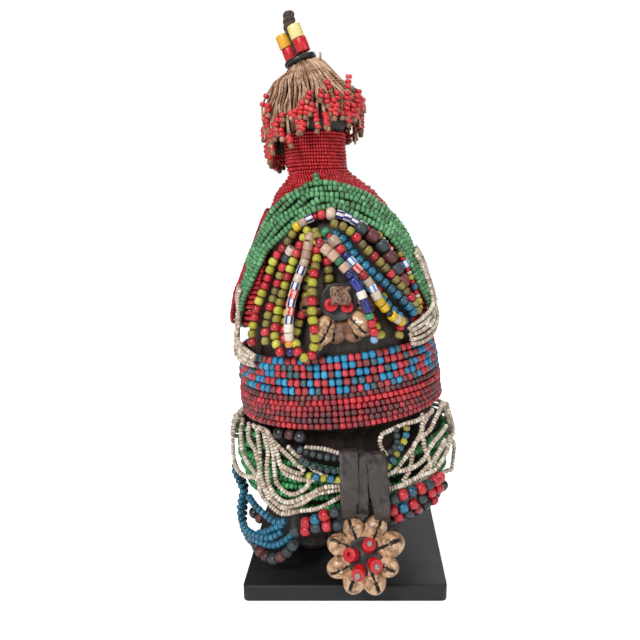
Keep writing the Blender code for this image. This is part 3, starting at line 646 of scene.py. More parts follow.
def heights_down(top, pitch, count):
    """Heights of rows down the figure's side, a pitch apart on its surface."""
    found = [top]
    for _ in range(count):
        height = found[-1]
        slope = np.linalg.norm(surface(60.0, height) - surface(60.0, height - 1.0))
        found.append(height - pitch / slope)
    return found


def seed_beads(finish=0, wide=RED, long=RED_LONG, shape="seed"):
    """A pattern of one kind of bead, over and over."""
    def pattern(k, rng):
        return shape, finish, wide, long
    return pattern


NECK_ROWS = 12
NECK_WIDE, NECK_LONG = 2.15, 1.56
neck_beads = []
neck_heights = heights_down(NECK_TOP, RED / 2, 18)
for row in range(NECK_ROWS):
    angles = np.arange(0, 360, 5.0)
    share = (row + 0.5) / NECK_ROWS
    heights = NECK_TOP + (neck_heights[-1] - NECK_TOP) * share + 0.4 * np.sin(np.radians(angles + row * 9))
    points, out = laid(angles, heights, first_layer + 0.12 * np.sin(np.radians(angles * 4 + row * 63)))
    neck_beads += thread(points, out, seed_beads(0, NECK_WIDE, NECK_LONG), row, closed=True, uneven=0.05)
neck = bead_piece("neck_strands", neck_beads, [red_seed])
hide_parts("neck_wrap")

SHOULDER_ROWS = 14
ROWS_OVER_CHEST = 8
DRAPE = 6.0
SHOULDER_WIDE, SHOULDER_LONG = 2.4, 1.78
shoulder_beads = []
shoulder_top = neck_heights[-1] - GAP
shoulder_heights = heights_down(shoulder_top, RED / 2, 24)
shoulder_step = 12 * RED / SHOULDER_ROWS
shoulder_rows = heights_down(shoulder_top, shoulder_step / 2, 2 * SHOULDER_ROWS)
for row in range(SHOULDER_ROWS):
    hidden = 0.0 if row < ROWS_OVER_CHEST else 38.0
    angles = np.arange(hidden, 360 - hidden, 4.0)
    drape = DRAPE * min(1.0, row / 5.0)
    heights = shoulder_rows[2 * row + 1] + drape * (0.35 - np.sin(np.radians(angles)) ** 2)
    heights = heights + 0.35 * np.sin(np.radians(angles * 3 + row * 50))
    points, out = laid(angles, heights, first_layer + 0.25 * np.sin(np.radians(angles * 5 + row * 77)))
    shoulder_beads += thread(points, out, seed_beads(0, SHOULDER_WIDE, SHOULDER_LONG), 40 + row,
                             closed=row < ROWS_OVER_CHEST, uneven=0.06)
shoulders = bead_piece("shoulder_strands", shoulder_beads, [red_seed])
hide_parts("shoulder_wrap")

BACK_ROWS = 24
BACK_WIDE, BACK_LONG = 2.65, 2.1
back_beads = []
back_heights = heights_down(shoulder_heights[-1] - GAP, RED / 2, 2 * BACK_ROWS)
for row in range(BACK_ROWS):
    angles = np.arange(54, 307, 4.0)
    heights = back_heights[2 * row + 1] + DRAPE * (0.35 - np.sin(np.radians(angles)) ** 2)
    heights = heights + 0.4 * np.sin(np.radians(angles * 2.6 + row * 50))
    points, out = laid(angles, heights, first_layer + 0.2 * np.sin(np.radians(angles * 5 + row * 77)))
    back_beads += thread(points, out, seed_beads(0, BACK_WIDE, BACK_LONG, "plain"), 80 + row, uneven=0.06)
back = bead_piece("back_strands", back_beads, [red_seed])
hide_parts("back_mantle")


# Green mantle
# Five strands of larger green glass beads lie over the red ones, up over the chest and round the back.
# The glass is matt and scratched, some beads paler than others, and darker toward the holes, partly grime
# and partly painted shade.
GREEN = 3.6
GREEN_ROWS = 5
GREEN_PITCH = 3.8
green_seed = glass(
    "green_glass", (0.080, 0.27, 0.105), (0.065, 0.165, 0.07), (0.15, 0.41, 0.19),
    0.3, 0.3, 0.75, 0.42, 0.12,
)
GREEN_ROUTE = (
    (0, 221), (17, 220), (33, 216), (50, 208), (64, 197), (73, 184), (79, 170), (89, 157), (108, 149),
    (145, 146), (180, 146), (215, 146), (252, 149), (273, 156), (286, 169), (294, 183), (301, 196),
    (317, 208), (333, 215.5), (346, 220),
)


def beside(line, distance):
    """A line of places (angle, height) moved a distance in mm to the left of its run over the body."""
    angle, height = line[:, 0], line[:, 1]
    across = np.linalg.norm(surface(angle + 1, height) - surface(angle - 1, height), axis=-1) / 2
    upward = np.linalg.norm(surface(angle, height + 1) - surface(angle, height - 1), axis=-1) / 2
    run = unit(np.stack((np.gradient(angle) * across, np.gradient(height) * upward), -1))
    moved = line.copy()
    moved[:, 0] = angle - run[:, 1] * distance / across
    moved[:, 1] = height + run[:, 0] * distance / upward
    return moved


second_layer = 2 * GAP + RED + EASE + GREEN / 2
green_beads = []
green_line = smooth_line(GREEN_ROUTE, 6, closed=True)[:-1]
for row in range(GREEN_ROWS):
    wave = np.arange(len(green_line)) / len(green_line) * 2 * np.pi
    offset = (row - 2) * GREEN_PITCH + 0.6 * np.sin(wave * 7 + row * 1.9)
    line = beside(green_line, offset)
    points, out = laid(
        line[:, 0], line[:, 1], second_layer - EASE * 0.7 + 0.4 * np.sin(wave * 9 + row * 2.4),
    )
    green_beads += thread(
        points, out, seed_beads(0, GREEN + 0.25, 2.75, "ring"), 120 + row, closed=True, uneven=0.13,
        wobble=0.1,
    )
end_line, end_out = laid([-7.0, -6.2, -6.6], [225.0, 229.0, 232.0], [6.4, 6.4, 6.0])
green_beads += thread(end_line, end_out, seed_beads(0, GREEN + 0.25, 3.0, "ring"), 127)
green = bead_piece("green_strands", green_beads, [green_seed])
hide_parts("green_mantle")


# Necklaces
# Strands of round olive and scarlet beads, cream and striped tubes and blue beads, hung from under
# the mantle and lying over each other down the chest. All are moulded or drawn trade glass on cotton.
def striped_group():
    """Stripes that run along a bead, a few times round it, with soft uneven edges."""
    group, grab, give = effect(
        "bead_stripes",
        (("Ground", "Color", (0.7, 0.7, 0.7, 1)), ("Stripe", "Color", (0.02, 0.03, 0.3, 1)),
         ("Count", "Float", 4.0), ("Width", "Float", 0.5)),
        (("Color", "Color"),),
    )
    add, link = nodes_of(group)
    split = add("ShaderNodeSeparateXYZ")
    link(add("ShaderNodeUVMap", uv_map="bead").outputs[0], split.inputs[0])
    waver = speckle(add, link, add("ShaderNodeTexCoord").outputs["Object"], 700.0, 2.0)
    around = maths(add, link, "MULTIPLY_ADD", waver, 0.03, split.outputs[0])
    turn = maths(add, link, "FRACT", maths(add, link, "MULTIPLY", around, grab.outputs["Count"]))
    edge = maths(add, link, "SUBTRACT", grab.outputs["Width"], turn)
    mask = maths(add, link, "MULTIPLY_ADD", edge, 12.0, 0.5, clamp=True)
    link(mixing(add, link, mask, grab.outputs["Ground"], grab.outputs["Stripe"]), give.inputs["Color"])
    return group


BEAD_STRIPES = striped_group()


def striped_glass(name, ground, stripe, count, width):
    """Bead glass with stripes drawn along it: how many round it, and their share of the ground."""
    made = glass(name, ground, ground, ground, 0.0, 0.0, 0.55, 0.3)
    add, link = nodes_of(made.node_tree)
    body = next(n for n in made.node_tree.nodes if n.type == "GROUP")
    lines = add("ShaderNodeGroup", node_tree=BEAD_STRIPES)
    lines.inputs["Ground"].default_value = (*ground, 1)
    lines.inputs["Stripe"].default_value = (*stripe, 1)
    lines.inputs["Count"].default_value = count
    lines.inputs["Width"].default_value = width
    for label in ("Glass", "Dull", "Pale"):
        link(lines.outputs[0], body.inputs[label])
    return made


# Kind of glass: its colour, the dull and the pale one, their shares, grime with painted shade, and
# roughness
TONES = {
    "olive": ((0.40, 0.37, 0.022), (0.20, 0.15, 0.03), (0.56, 0.54, 0.06), 0.3, 0.3, 0.75, 0.36),
    "ochre": ((0.25, 0.20, 0.035), (0.14, 0.10, 0.03), (0.36, 0.31, 0.06), 0.4, 0.2, 0.8, 0.42),
    "scarlet": ((0.50, 0.010, 0.020), (0.24, 0.012, 0.016), (0.62, 0.05, 0.06), 0.2, 0.2),
    "cream": ((0.62, 0.50, 0.40), (0.40, 0.28, 0.20), (0.78, 0.70, 0.60), 0.3, 0.35, 0.6, 0.38),
    "peach": ((0.52, 0.33, 0.23), (0.36, 0.22, 0.16), (0.66, 0.48, 0.36), 0.3, 0.3, 0.7, 0.42),
    "navy": ((0.012, 0.014, 0.12), (0.01, 0.01, 0.05), (0.02, 0.03, 0.26), 0.3, 0.3, 0.4, 0.22),
    "green": ((0.03, 0.26, 0.11), (0.02, 0.12, 0.05), (0.14, 0.46, 0.24), 0.3, 0.2),
    "black": ((0.012, 0.013, 0.014), (0.01, 0.01, 0.01), (0.03, 0.032, 0.034), 0.3, 0.3, 0.3, 0.24),
    "yellow": ((0.66, 0.44, 0.008), (0.5, 0.30, 0.01), (0.78, 0.60, 0.05), 0.2, 0.3, 0.4, 0.28),
    "blue": ((0.012, 0.145, 0.25), (0.012, 0.080, 0.13), (0.03, 0.22, 0.37), 0.3, 0.25, 0.5, 0.24),
    "orange": ((0.62, 0.22, 0.01), (0.4, 0.14, 0.01), (0.7, 0.32, 0.04), 0.2, 0.3),
    "pale_blue": ((0.20, 0.36, 0.56), (0.14, 0.24, 0.4), (0.4, 0.56, 0.72), 0.3, 0.3, 0.4, 0.2),
    "maroon": ((0.115, 0.022, 0.026), (0.06, 0.016, 0.018), (0.20, 0.035, 0.04), 0.3, 0.2, 0.7, 0.5),
    "slate": ((0.028, 0.042, 0.050), (0.018, 0.022, 0.026), (0.05, 0.075, 0.085), 0.3, 0.2, 0.5, 0.5),
}
GLASS = {}
for kind, tone in TONES.items():
    GLASS[kind] = glass("green_glass_round" if kind == "green" else kind + "_glass", *tone)
for kind, name, ground, stripe, width in (
    ("blue_stripe", "blue_striped_glass", (0.72, 0.68, 0.66), (0.012, 0.018, 0.20), 0.45),
    ("red_stripe", "red_striped_glass", (0.70, 0.50, 0.44), (0.60, 0.02, 0.012), 0.5),
    ("sky_stripe", "sky_striped_glass", (0.74, 0.74, 0.76), (0.06, 0.22, 0.60), 0.4),
):
    GLASS[kind] = striped_glass(name, ground, stripe, 5.0, width)
# Letter: shape, glass, width and length in mm
LETTERS = {
    "y": ("round", "olive", 5.4, 4.7), "v": ("round", "ochre", 5.2, 4.6),
    "r": ("round", "scarlet", 5.5, 4.8), "t": ("seed", "scarlet", 3.4, 2.4),
    "w": ("tube", "cream", 5.3, 4.4), "W": ("tube", "cream", 6.6, 5.8), "p": ("tube", "peach", 5.5, 4.8),
    "s": ("tube", "blue_stripe", 5.0, 4.6), "S": ("tube", "red_stripe", 5.0, 4.8),
    "z": ("tube", "sky_stripe", 5.0, 4.4), "n": ("round", "navy", 5.0, 4.4),
    "N": ("tube", "navy", 5.0, 8.6), "g": ("round", "green", 5.4, 3.8), "k": ("round", "black", 4.6, 3.6),
    "Y": ("tube", "yellow", 5.6, 4.0), "b": ("round", "blue", 5.5, 4.6),
    "o": ("round", "orange", 5.2, 4.0), "c": ("round", "pale_blue", 4.4, 4.0),
    "m": ("round", "maroon", 8.2, 7.4), "l": ("round", "slate", 8.2, 7.4),
    "M": ("tube", "maroon", 5.8, 5.4), "L": ("round", "slate", 5.8, 5.2),
    "d": ("seed", "cream", 2.9, 1.9), "e": ("seed", "cream", 3.6, 2.2), "q": ("round", "slate", 4.2, 3.6),
    "j": ("round", "peach", 7.4, 5.6), "h": ("round", "black", 7.2, 6.4),
    "x": ("round", "blue", 4.5, 3.9), "R": ("round", "scarlet", 6.8, 5.8),
    "B": ("round", "blue", 6.4, 5.4), "u": ("ball", "blue", 4.4, 3.6), "i": ("round", "olive", 4.2, 3.6),
    "f": ("round", "maroon", 6.6, 5.8), "a": ("round", "slate", 6.6, 5.8),
}


def spelled(letters, used):
    """A pattern of beads from letters, over and over; used collects the kinds of glass in their order."""
    def pattern(k, rng):
        shape, kind, wide, long = LETTERS[letters[k % len(letters)]]
        if kind not in used:
            used.append(kind)
        return shape, used.index(kind), wide, long
    return pattern


def hung(title, node, strands, form=BODY):
    """Strands of lettered beads over routes (angle, height, rise over the surface in mm), as one piece."""
    used, beads = [], []
    for k, (route, letters) in enumerate(strands):
        line = smooth_line(route, 12)
        wide = np.mean([LETTERS[letter][2] for letter in letters])
        points, out = laid(line[:, 0], line[:, 1], EASE + wide / 2 + line[:, 2], form)
        seed = sum(map(ord, title)) + 31 * k
        beads += thread(points, out, spelled(letters, used), seed, uneven=0.05)
    piece = bead_piece(title, beads, [GLASS[kind] for kind in used])
    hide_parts(node)


hung("necklace_outer_left", "yellow_red_strand_outer", (
    (((-27, 203, 0), (-33, 196, 0), (-42, 186, 0), (-45, 174, 0), (-48, 159, 2), (-48, 146, 5),
      (-46, 141, 5)),
     "vvrryyrryyrryyrrryy"),
))
hung("necklace_second_left", "olive_red_strand", (
    (((-27, 194, 1), (-31, 188, 0), (-34, 179, 0), (-37, 166, 0), (-38.5, 152, 3), (-37, 142, 5)),
     "wLrvrvvrvvrvvrv"),
))
hung("necklace_inner_left", "yellow_red_strand_inner", (
    (((-13, 204, 2), (-18, 200, 1), (-25, 186, 1), (-29, 172, 1), (-31, 157, 3), (-30, 145, 6),
      (-25, 138, 7)),
     "yyrryyryyyyyryyrryyy"),
    (((-12, 196, 0), (-17, 186, 0), (-20, 176, 0), (-25, 163, 0), (-27, 152, 1), (-27, 143, 2)),
     "vryyvvLryyrryyv"),
    (((-7, 198, 0), (-11, 187, 0), (-14, 176, 0), (-16, 163, 0), (-19, 152, 1), (-22, 143, 1)),
     "yvryyvyyrv"),
))
hung("necklace_striped", "striped_strand", (
    (((-11, 200, 4), (-13, 197, 5), (-15, 186, 6), (-19, 172, 8), (-21, 156, 9), (-21, 144, 8),
      (-20, 138, 7)),
     "pppwswsSsSswwon"),
))
hung("necklace_centre", "yellow_strand_middle", (
    (((-10, 204, 3), (-9, 200, 3), (-8, 188, 4), (-9, 175, 10), (-9, 158, 10), (-8, 145, 8), (-11, 137, 7),
      (-16, 139, 8), (-19, 145, 5)),
     "yyryyryyryyryyryryyryYYv"),
    (((-4, 198, 0), (-2, 188, 0), (-1, 178, 0), (-1, 160, 0), (-4, 146, 1), (-9, 140, 2)), "vvryyv"),
))
hung("necklace_green_white", "green_white_strand", (
    (((-3, 202, 6), (-1, 200, 7), (8, 191, 8), (15, 182, 10), (21, 173, 10), (25, 163, 10), (31, 155, 8),
      (40, 150, 4)),
     "gtWrnzSrwzwYYkYwYYgYy"),
))
hung("necklace_navy_white", "navy_white_strand", (
    (((-6, 199, 11), (-6, 196, 13), (3, 188, 14), (9, 180, 15), (14, 170, 15), (17, 158, 14), (20, 147, 11),
      (20, 141, 9)),
     "vrppgpnNwNgrrcznk"),
))
hung("necklace_blue_lower", "blue_strand_lower", (
    (((-3, 199, 0), (0, 195, 0), (13, 182, 3), (25, 169, 4), (38, 154, 4), (43, 149, 3)), "b"),
))
hung("necklace_blue_upper", "blue_strand_upper", (
    (((3, 203, 0), (8, 200, 0), (20, 186, 2), (33, 173, 4), (46, 159, 4), (51, 153, 3)), "b"),
))
hung("necklace_right", "yellow_red_strand_right", (
    (((2, 206, 5), (12, 203, 6), (21, 195, 5), (31, 186, 4), (43, 173, 3), (53, 160, 3), (56, 153, 2)),
     "yyyrvvrvvrvvvrvv"),
    (((9, 196, 0), (19, 184, 0), (28, 172, 0), (35, 160, 0), (40, 148, 1), (38, 140, 1)), "vvyrvvry"),
    (((5, 192, 0), (14, 180, 0), (19, 166, 0), (24, 152, 0), (28, 142, 1)), "yyvrvyyvr"),
))
hung("necklace_top_row", "striped_top_strand", (
    (((-27, 204, 1.2), (-22, 206.5, 1.2), (-14, 209, 1.5), (-2, 211, 1.5), (9, 211, 1.5), (18, 208.5, 1.5),
      (28, 204.5, 1.8), (38, 199, 2), (46, 191, 2)),
     "Ywstrjsssstkveetetetete"),
))
hung("necklace_slate", "slate_chest_strand", (
    (((-16, 185, 0), (-22, 172, 0), (-23.5, 160, 0), (-21.5, 149, 0), (-19, 141, 0)), "LMLMLM"),
))
hung("necklace_large", "large_shoulder_strand", (
    (((22, 206, 0), (24, 204, 0), (33, 199, 0), (41, 191, 0), (46, 180, 0), (50, 170, 0)), "lmlmlm"),
    (((54, 190, 2), (57, 180, 2), (59, 170, 2), (60, 160, 2), (60, 152, 1)), "itzteitutei"),
))


# Chest pendant
# Six cowrie shells sewn round a dark leather disc, with two red glass rings and a knot of twine.
# The shells lie slit side out, and are yellowed, with brown lips and pale worn backs; those set back round
# the disc have their colours painted darker as shade.
def frame_at(place, normal):
    """A place in metres and a turn that put local +Z along normal and local +Y as far up as it goes."""
    normal = Vector(normal).normalized()
    right = Vector((0, 0, 1)).cross(normal).normalized()
    return Matrix.Translation(place) @ Matrix((right, normal.cross(right), normal)).transposed().to_4x4()


def cowrie_shape():
    """A shell 1 long along Y from its sewn end at the origin, its slit up: a sphere, reshaped step by step.
    """
    only()
    bpy.ops.mesh.primitive_uv_sphere_add(
        segments=26, ring_count=24, radius=0.5, rotation=(math.radians(90), 0, 0),
    )
    shell = bpy.context.object
    bpy.ops.object.transform_apply(rotation=True)
    pick(shell, lambda co: True)
    bpy.ops.transform.resize(value=(0.72, 1.0, 0.62))
    pick(shell, lambda co: co.y > 0.02)
    bpy.ops.transform.resize(value=(1.16, 1.0, 1.12), center_override=(0, 0, 0))
    pick(shell, lambda co: co.z < -0.02)
    bpy.ops.transform.resize(value=(1.0, 1.0, 0.35), center_override=(0, 0, 0))
    pick(shell, lambda co: co.z > 0.1 and abs(co.x) < 0.06 and abs(co.y) < 0.40, "FACE")
    bpy.ops.mesh.inset(thickness=0.012, depth=0.0)
    bpy.ops.mesh.extrude_region_move(TRANSFORM_OT_translate={"value": (0, 0, -0.11)})
    bpy.ops.transform.resize(value=(0.6, 1.0, 1.0), center_override=(0, 0, 0))
    bpy.ops.object.mode_set(mode="OBJECT")

    def on_lip(co):
        return 0.03 < abs(co.x) < 0.17 and co.z > 0.12

    teeth = set(sorted({round(v.co.y, 3) for v in shell.data.vertices if on_lip(v.co)})[::2])
    pick(shell, lambda co: round(co.y, 3) in teeth and on_lip(co))
    bpy.ops.transform.resize(value=(0.74, 1.0, 1.13), center_override=(0, 0, 0))
    bpy.ops.object.mode_set(mode="OBJECT")
    bpy.ops.object.shade_smooth()
    mesh = shell.data
    mesh.transform(Matrix.Translation((0, 0.5, 0)))
    lip = []
    for v in mesh.vertices:
        brown = max(0.0, 1.0 - abs(v.co.x) / 0.34) * (0.2 if round(v.co.y - 0.5, 3) in teeth else 1.0)
        lip.append(brown if v.co.z > 0.05 else 0.0)
    # The inside of the slit is marked here to be painted near black, as shade in the groove.
    slit_shade = [
        1.0 if abs(v.co.x) < 0.055 and 0.02 < v.co.z < 0.235 and 0.1 < v.co.y < 0.9 else 0.0
        for v in mesh.vertices
    ]
    mesh.attributes.new("shell_lip", "FLOAT", "POINT").data.foreach_set("value", lip)
    mesh.attributes.new("shell_slit", "FLOAT", "POINT").data.foreach_set("value", slit_shade)
    return shell


def shell_material(name, low, high, worn):
    """Cowrie shell blotched between two colours and worn pale, its lips brown and painted shade near black
    in its slit.
    """
    made = bpy.data.materials.new(name)
    made.use_nodes = True
    add, link = nodes_of(made.node_tree)
    shader = made.node_tree.nodes["Principled BSDF"]
    place = add("ShaderNodeTexCoord").outputs["Object"]
    lip = add("ShaderNodeAttribute", attribute_name="shell_lip").outputs["Fac"]
    slit = add("ShaderNodeAttribute", attribute_name="shell_slit").outputs["Fac"]
    blotch = speckle(add, link, place, 260.0, 4.0, 0.65)
    fine = speckle(add, link, place, 1500.0, 3.0, 0.6)
    colour = mixing(add, link, ramp(add, link, blotch, 0.36, 0.60), (*low, 1), (*high, 1))
    colour = mixing(add, link, ramp(add, link, fine, 0.45, 0.8, 0.0, 0.5), colour, (*worn, 1))
    brown = maths(add, link, "MULTIPLY", ramp(add, link, lip, 0.25, 0.85), 0.85)
    colour = mixing(add, link, brown, colour, (0.10, 0.038, 0.018, 1))
    # Painted shade: the groove of the slit is coloured near black.
    colour = mixing(add, link, slit, colour, (0.012, 0.007, 0.005, 1))
    link(colour, shader.inputs["Base Color"])
    link(ramp(add, link, blotch, 0.3, 0.7, 0.42, 0.24), shader.inputs["Roughness"])
    relief = add("ShaderNodeBump")
    relief.inputs["Strength"].default_value = 0.35
    relief.inputs["Distance"].default_value = 0.0002
    link(maths(add, link, "ADD", blotch, maths(add, link, "MULTIPLY", fine, 0.4)), relief.inputs["Height"])
    link(relief.outputs[0], shader.inputs["Normal"])
    shader.inputs["Coat Weight"].default_value = 0.3
    shader.inputs["Coat Roughness"].default_value = 0.2
    return made


COWRIE_LONG = 0.0172
cowrie_finish = shell_material("cowrie_shell", (0.22, 0.090, 0.034), (0.64, 0.39, 0.21), (0.80, 0.64, 0.47))
# The same shell colours made darker: painted shade for the shells set back round the chest disc.
shaded_cowrie_finish = shell_material(
    "shaded_cowrie_shell", (0.10, 0.042, 0.022), (0.24, 0.11, 0.06), (0.34, 0.20, 0.12),
)
cowrie = cowrie_shape()
cowrie.data.materials.append(cowrie_finish)


def joined(title, things):
    """Several objects as one, its place in its mesh."""
    only(things[0])
    for thing in things:
        thing.select_set(True)
    if len(things) > 1:
        bpy.ops.object.join()
    made = bpy.context.object
    made.name = title
    made.data.name = title
    only(made)
    bpy.ops.object.transform_apply(location=True, rotation=True, scale=True)
    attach(made, "root")
    return made


def cowrie_ring(title, node, middle, places, seed):
    """Shells at places: turn from up toward +X in degrees, reach and lift in mm, roll in degrees, and dark,
    which paints them darker as shade.
    """
    rng = random.Random(seed)
    shells = []
    for turn, reach, lift, roll, dark in places:
        shell = bpy.data.objects.new("shell", cowrie.data.copy())
        shell.data.materials[0] = shaded_cowrie_finish if dark else cowrie_finish
        scene.collection.objects.link(shell)
        size = COWRIE_LONG * rng.uniform(0.92, 1.08)
        long = 0.97 if dark else 1.05
        roll += rng.uniform(-9, 9)
        place = middle @ Matrix.Rotation(-math.radians(turn), 4, "Z")
        place = place @ Matrix.Translation((0, reach * MM, lift * MM))
        place = place @ Matrix.Rotation(rng.uniform(-0.08, 0.20), 4, "X")
        place = place @ Matrix.Rotation(math.radians(roll), 4, "Y")
        shell.matrix_world = place @ Matrix.Diagonal((size * 0.97, size * long, size * 0.92, 1.0))
        shells.append(shell)
    bpy.context.view_layer.update()
    made = joined(title, shells)
    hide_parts(node)
    return made


def tube_lines(name, lines, radius, sides, finish):
    """Threads as one mesh: a ring of points round each line in mm, mapped round and along it."""
    co, faces, uv, atlas, tone = [], [], [], [], []
    rng = random.Random(len(lines))
    for k, line in enumerate(lines):
        line = np.asarray(line, float)
        along = unit(np.gradient(line, axis=0))
        side = unit(np.cross(along[0], [0.3, 0.2, 1.0]))
        run = np.concatenate(([0], np.cumsum(np.linalg.norm(np.diff(line, axis=0), axis=1))))
        first = len(co)
        for i, point in enumerate(line):
            side = unit(side - along[i] * np.dot(side, along[i]))
            other = np.cross(along[i], side)
            for j in range(sides):
                turn = 2 * math.pi * j / sides
                co.append(point + (side * math.cos(turn) + other * math.sin(turn)) * radius)
        shade = rng.uniform(-1, 1)
        tone += [shade] * (len(line) * sides)
        for i in range(len(line) - 1):
            for j in range(sides):
                a, b = first + i * sides + j, first + i * sides + (j + 1) % sides
                faces.append((a, b, b + sides, a + sides))
                for u, v in ((j, i), (j + 1, i), (j + 1, i + 1), (j, i + 1)):
                    uv.append((u / sides, run[v] / 10.0))
                    atlas.append((0.02 + 0.96 * run[v] / run[-1], (k + 0.1 + 0.8 * u / sides) / len(lines)))
        for start, order in ((first, -1), (first + (len(line) - 1) * sides, 1)):
            faces.append(tuple(range(start, start + sides))[::order])
            for j in range(sides):
                uv.append((j / sides, run[-1 if order == 1 else 0] / 10.0))
                atlas.append((0.01 if order == -1 else 0.99, (k + 0.1 + 0.8 * j / sides) / len(lines)))
    mesh = bpy.data.meshes.new(name)
    mesh.from_pydata([tuple(p * MM) for p in co], [], faces)
    mesh.uv_layers.new(name="thread").data.foreach_set("uv", np.array(uv).ravel())
    mesh.uv_layers.new(name="OFBake").data.foreach_set("uv", np.array(atlas).ravel())
    mesh.attributes.new("bead_tone", "FLOAT", "POINT").data.foreach_set("value", tone)
    mesh.polygons.foreach_set("use_smooth", [True] * len(faces))
    mesh.materials.append(finish)
    mesh.update()
    made = bpy.data.objects.new(name, mesh)
    scene.collection.objects.link(made)
    return made


def thread_group():
    """Hand rolled cord: plies that wind round it, fuzz, and a tone that changes from cord to cord."""
    group, grab, give = effect(
        "twisted_thread",
        (("Fibre", "Color", (0.3, 0.14, 0.08, 1)), ("Shadow", "Color", (0.1, 0.04, 0.02, 1)),
         ("Pale", "Color", (0.5, 0.3, 0.2, 1)), ("Twist", "Float", 6.0), ("Plies", "Float", 2.0)),
        (("Color", "Color"), ("Roughness", "Float"), ("Height", "Float")),
    )
    add, link = nodes_of(group)
    place = add("ShaderNodeTexCoord").outputs["Object"]
    split = add("ShaderNodeSeparateXYZ")
    link(add("ShaderNodeUVMap", uv_map="thread").outputs[0], split.inputs[0])
    tone = add("ShaderNodeAttribute", attribute_name="bead_tone").outputs["Fac"]
    wound = maths(add, link, "MULTIPLY_ADD", split.outputs[1], grab.outputs["Twist"],
                  maths(add, link, "MULTIPLY", split.outputs[0], grab.outputs["Plies"]))
    ply = maths(
        add, link, "ABSOLUTE", maths(add, link, "SINE", maths(add, link, "MULTIPLY", wound, math.pi)),
    )
    fuzz = speckle(add, link, place, 1800.0, 4.0, 0.7)
    blotch = speckle(add, link, place, 160.0, 3.0)
    colour = mixing(
        add, link, ramp(add, link, ply, 0.0, 0.7), grab.outputs["Shadow"], grab.outputs["Fibre"],
    )
    light = maths(add, link, "MULTIPLY_ADD", tone, 0.35, ramp(add, link, blotch, 0.35, 0.7))
    light = maths(
        add, link, "MULTIPLY", light, maths(add, link, "MULTIPLY_ADD", fuzz, 0.9, 0.3), clamp=True,
    )
    link(mixing(add, link, light, colour, grab.outputs["Pale"]), give.inputs["Color"])
    link(maths(add, link, "MULTIPLY_ADD", fuzz, 0.15, 0.75), give.inputs["Roughness"])
    link(maths(add, link, "MULTIPLY_ADD", fuzz, 0.35, ply), give.inputs["Height"])
    return group


TWISTED_THREAD = thread_group()
brown_twine = finish_from("brown_twine", TWISTED_THREAD, {
    "Fibre": (0.20, 0.105, 0.068, 1), "Shadow": (0.04, 0.017, 0.010, 1), "Pale": (0.46, 0.31, 0.22, 1),
    "Twist": 6.0, "Plies": 2.0,
}, bump=0.0002, strength=0.8)


def leather_group():
    """Old dark leather: fine pores, creases and rubbed pale edges where the hide stands proud."""
    group, grab, give = effect(
        "old_leather",
        (("Hide", "Color", (0.07, 0.05, 0.045, 1)), ("Crease", "Color", (0.02, 0.015, 0.013, 1)),
         ("Rubbed", "Color", (0.17, 0.14, 0.13, 1)), ("Scale", "Float", 1.0), ("Roughness", "Float", 0.6)),
        (("Color", "Color"), ("Roughness", "Float"), ("Height", "Float")),
    )
    add, link = nodes_of(group)
    scaled = add("ShaderNodeVectorMath", operation="SCALE")
    link(add("ShaderNodeTexCoord").outputs["Object"], scaled.inputs[0])
    link(grab.outputs["Scale"], scaled.inputs["Scale"])
    place = scaled.outputs[0]
    pores = speckle(add, link, place, 1500.0, 3.0, 0.6)
    creases = speckle(add, link, place, 230.0, 6.0, 0.7, stretch=(1.0, 1.0, 0.35), lift=0.8)
    wear = speckle(add, link, place, 120.0, 4.0, 0.6)
    colour = mixing(
        add, link, ramp(add, link, creases, 0.32, 0.56), grab.outputs["Crease"], grab.outputs["Hide"],
    )
    rub = maths(add, link, "MULTIPLY", ramp(add, link, wear, 0.45, 0.72), ramp(add, link, pores, 0.35, 0.7))
    link(mixing(add, link, rub, colour, grab.outputs["Rubbed"]), give.inputs["Color"])
    link(maths(add, link, "MULTIPLY_ADD", rub, -0.15, grab.outputs["Roughness"]), give.inputs["Roughness"])
    link(maths(add, link, "MULTIPLY_ADD", pores, 0.35, creases), give.inputs["Height"])
    return group


OLD_LEATHER = leather_group()
dark_disc = finish_from("dark_disc_leather", OLD_LEATHER, {
    "Hide": (0.030, 0.026, 0.027, 1), "Crease": (0.012, 0.010, 0.010, 1),
    "Rubbed": (0.075, 0.068, 0.068, 1), "Scale": 1.0, "Roughness": 0.5,
}, bump=0.0003, strength=0.6)


DISC_RADIUS = 0.0105
DISC_THICK = 0.0026
OVER_DISC = 0.0066


def disc(title, node, frame_of):
    """A round leather button: a cylinder with its rim rolled over and its face dished."""
    only()
    bpy.ops.mesh.primitive_cylinder_add(
        vertices=40, radius=DISC_RADIUS, depth=DISC_THICK, end_fill_type="NGON",
    )
    made = bpy.context.object
    pick(made, lambda co: co.z > 0.001, "FACE")
    bpy.ops.mesh.inset(thickness=0.0018)
    bpy.ops.mesh.inset(thickness=0.0016, depth=-0.0007)
    bpy.ops.mesh.inset(thickness=0.0042, depth=-0.0002)
    bpy.ops.mesh.inset(thickness=0.0012, depth=0.0004)
    pick(made, lambda a, b: min(math.hypot(a.x, a.y), math.hypot(b.x, b.y)) > DISC_RADIUS - 0.0002
         and abs(a.z - b.z) < 1e-5, "EDGE")
    bpy.ops.mesh.bevel(offset=0.0007, segments=3, affect="EDGES")
    bpy.ops.object.mode_set(mode="OBJECT")
    made.data.transform(frame_of @ Matrix.Translation((0, 0, 0.0058)))
    made.data.materials.append(dark_disc)
    finish_shape(made, 50)
    made.name = title
    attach(made, "root")
    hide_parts(node)
    return made


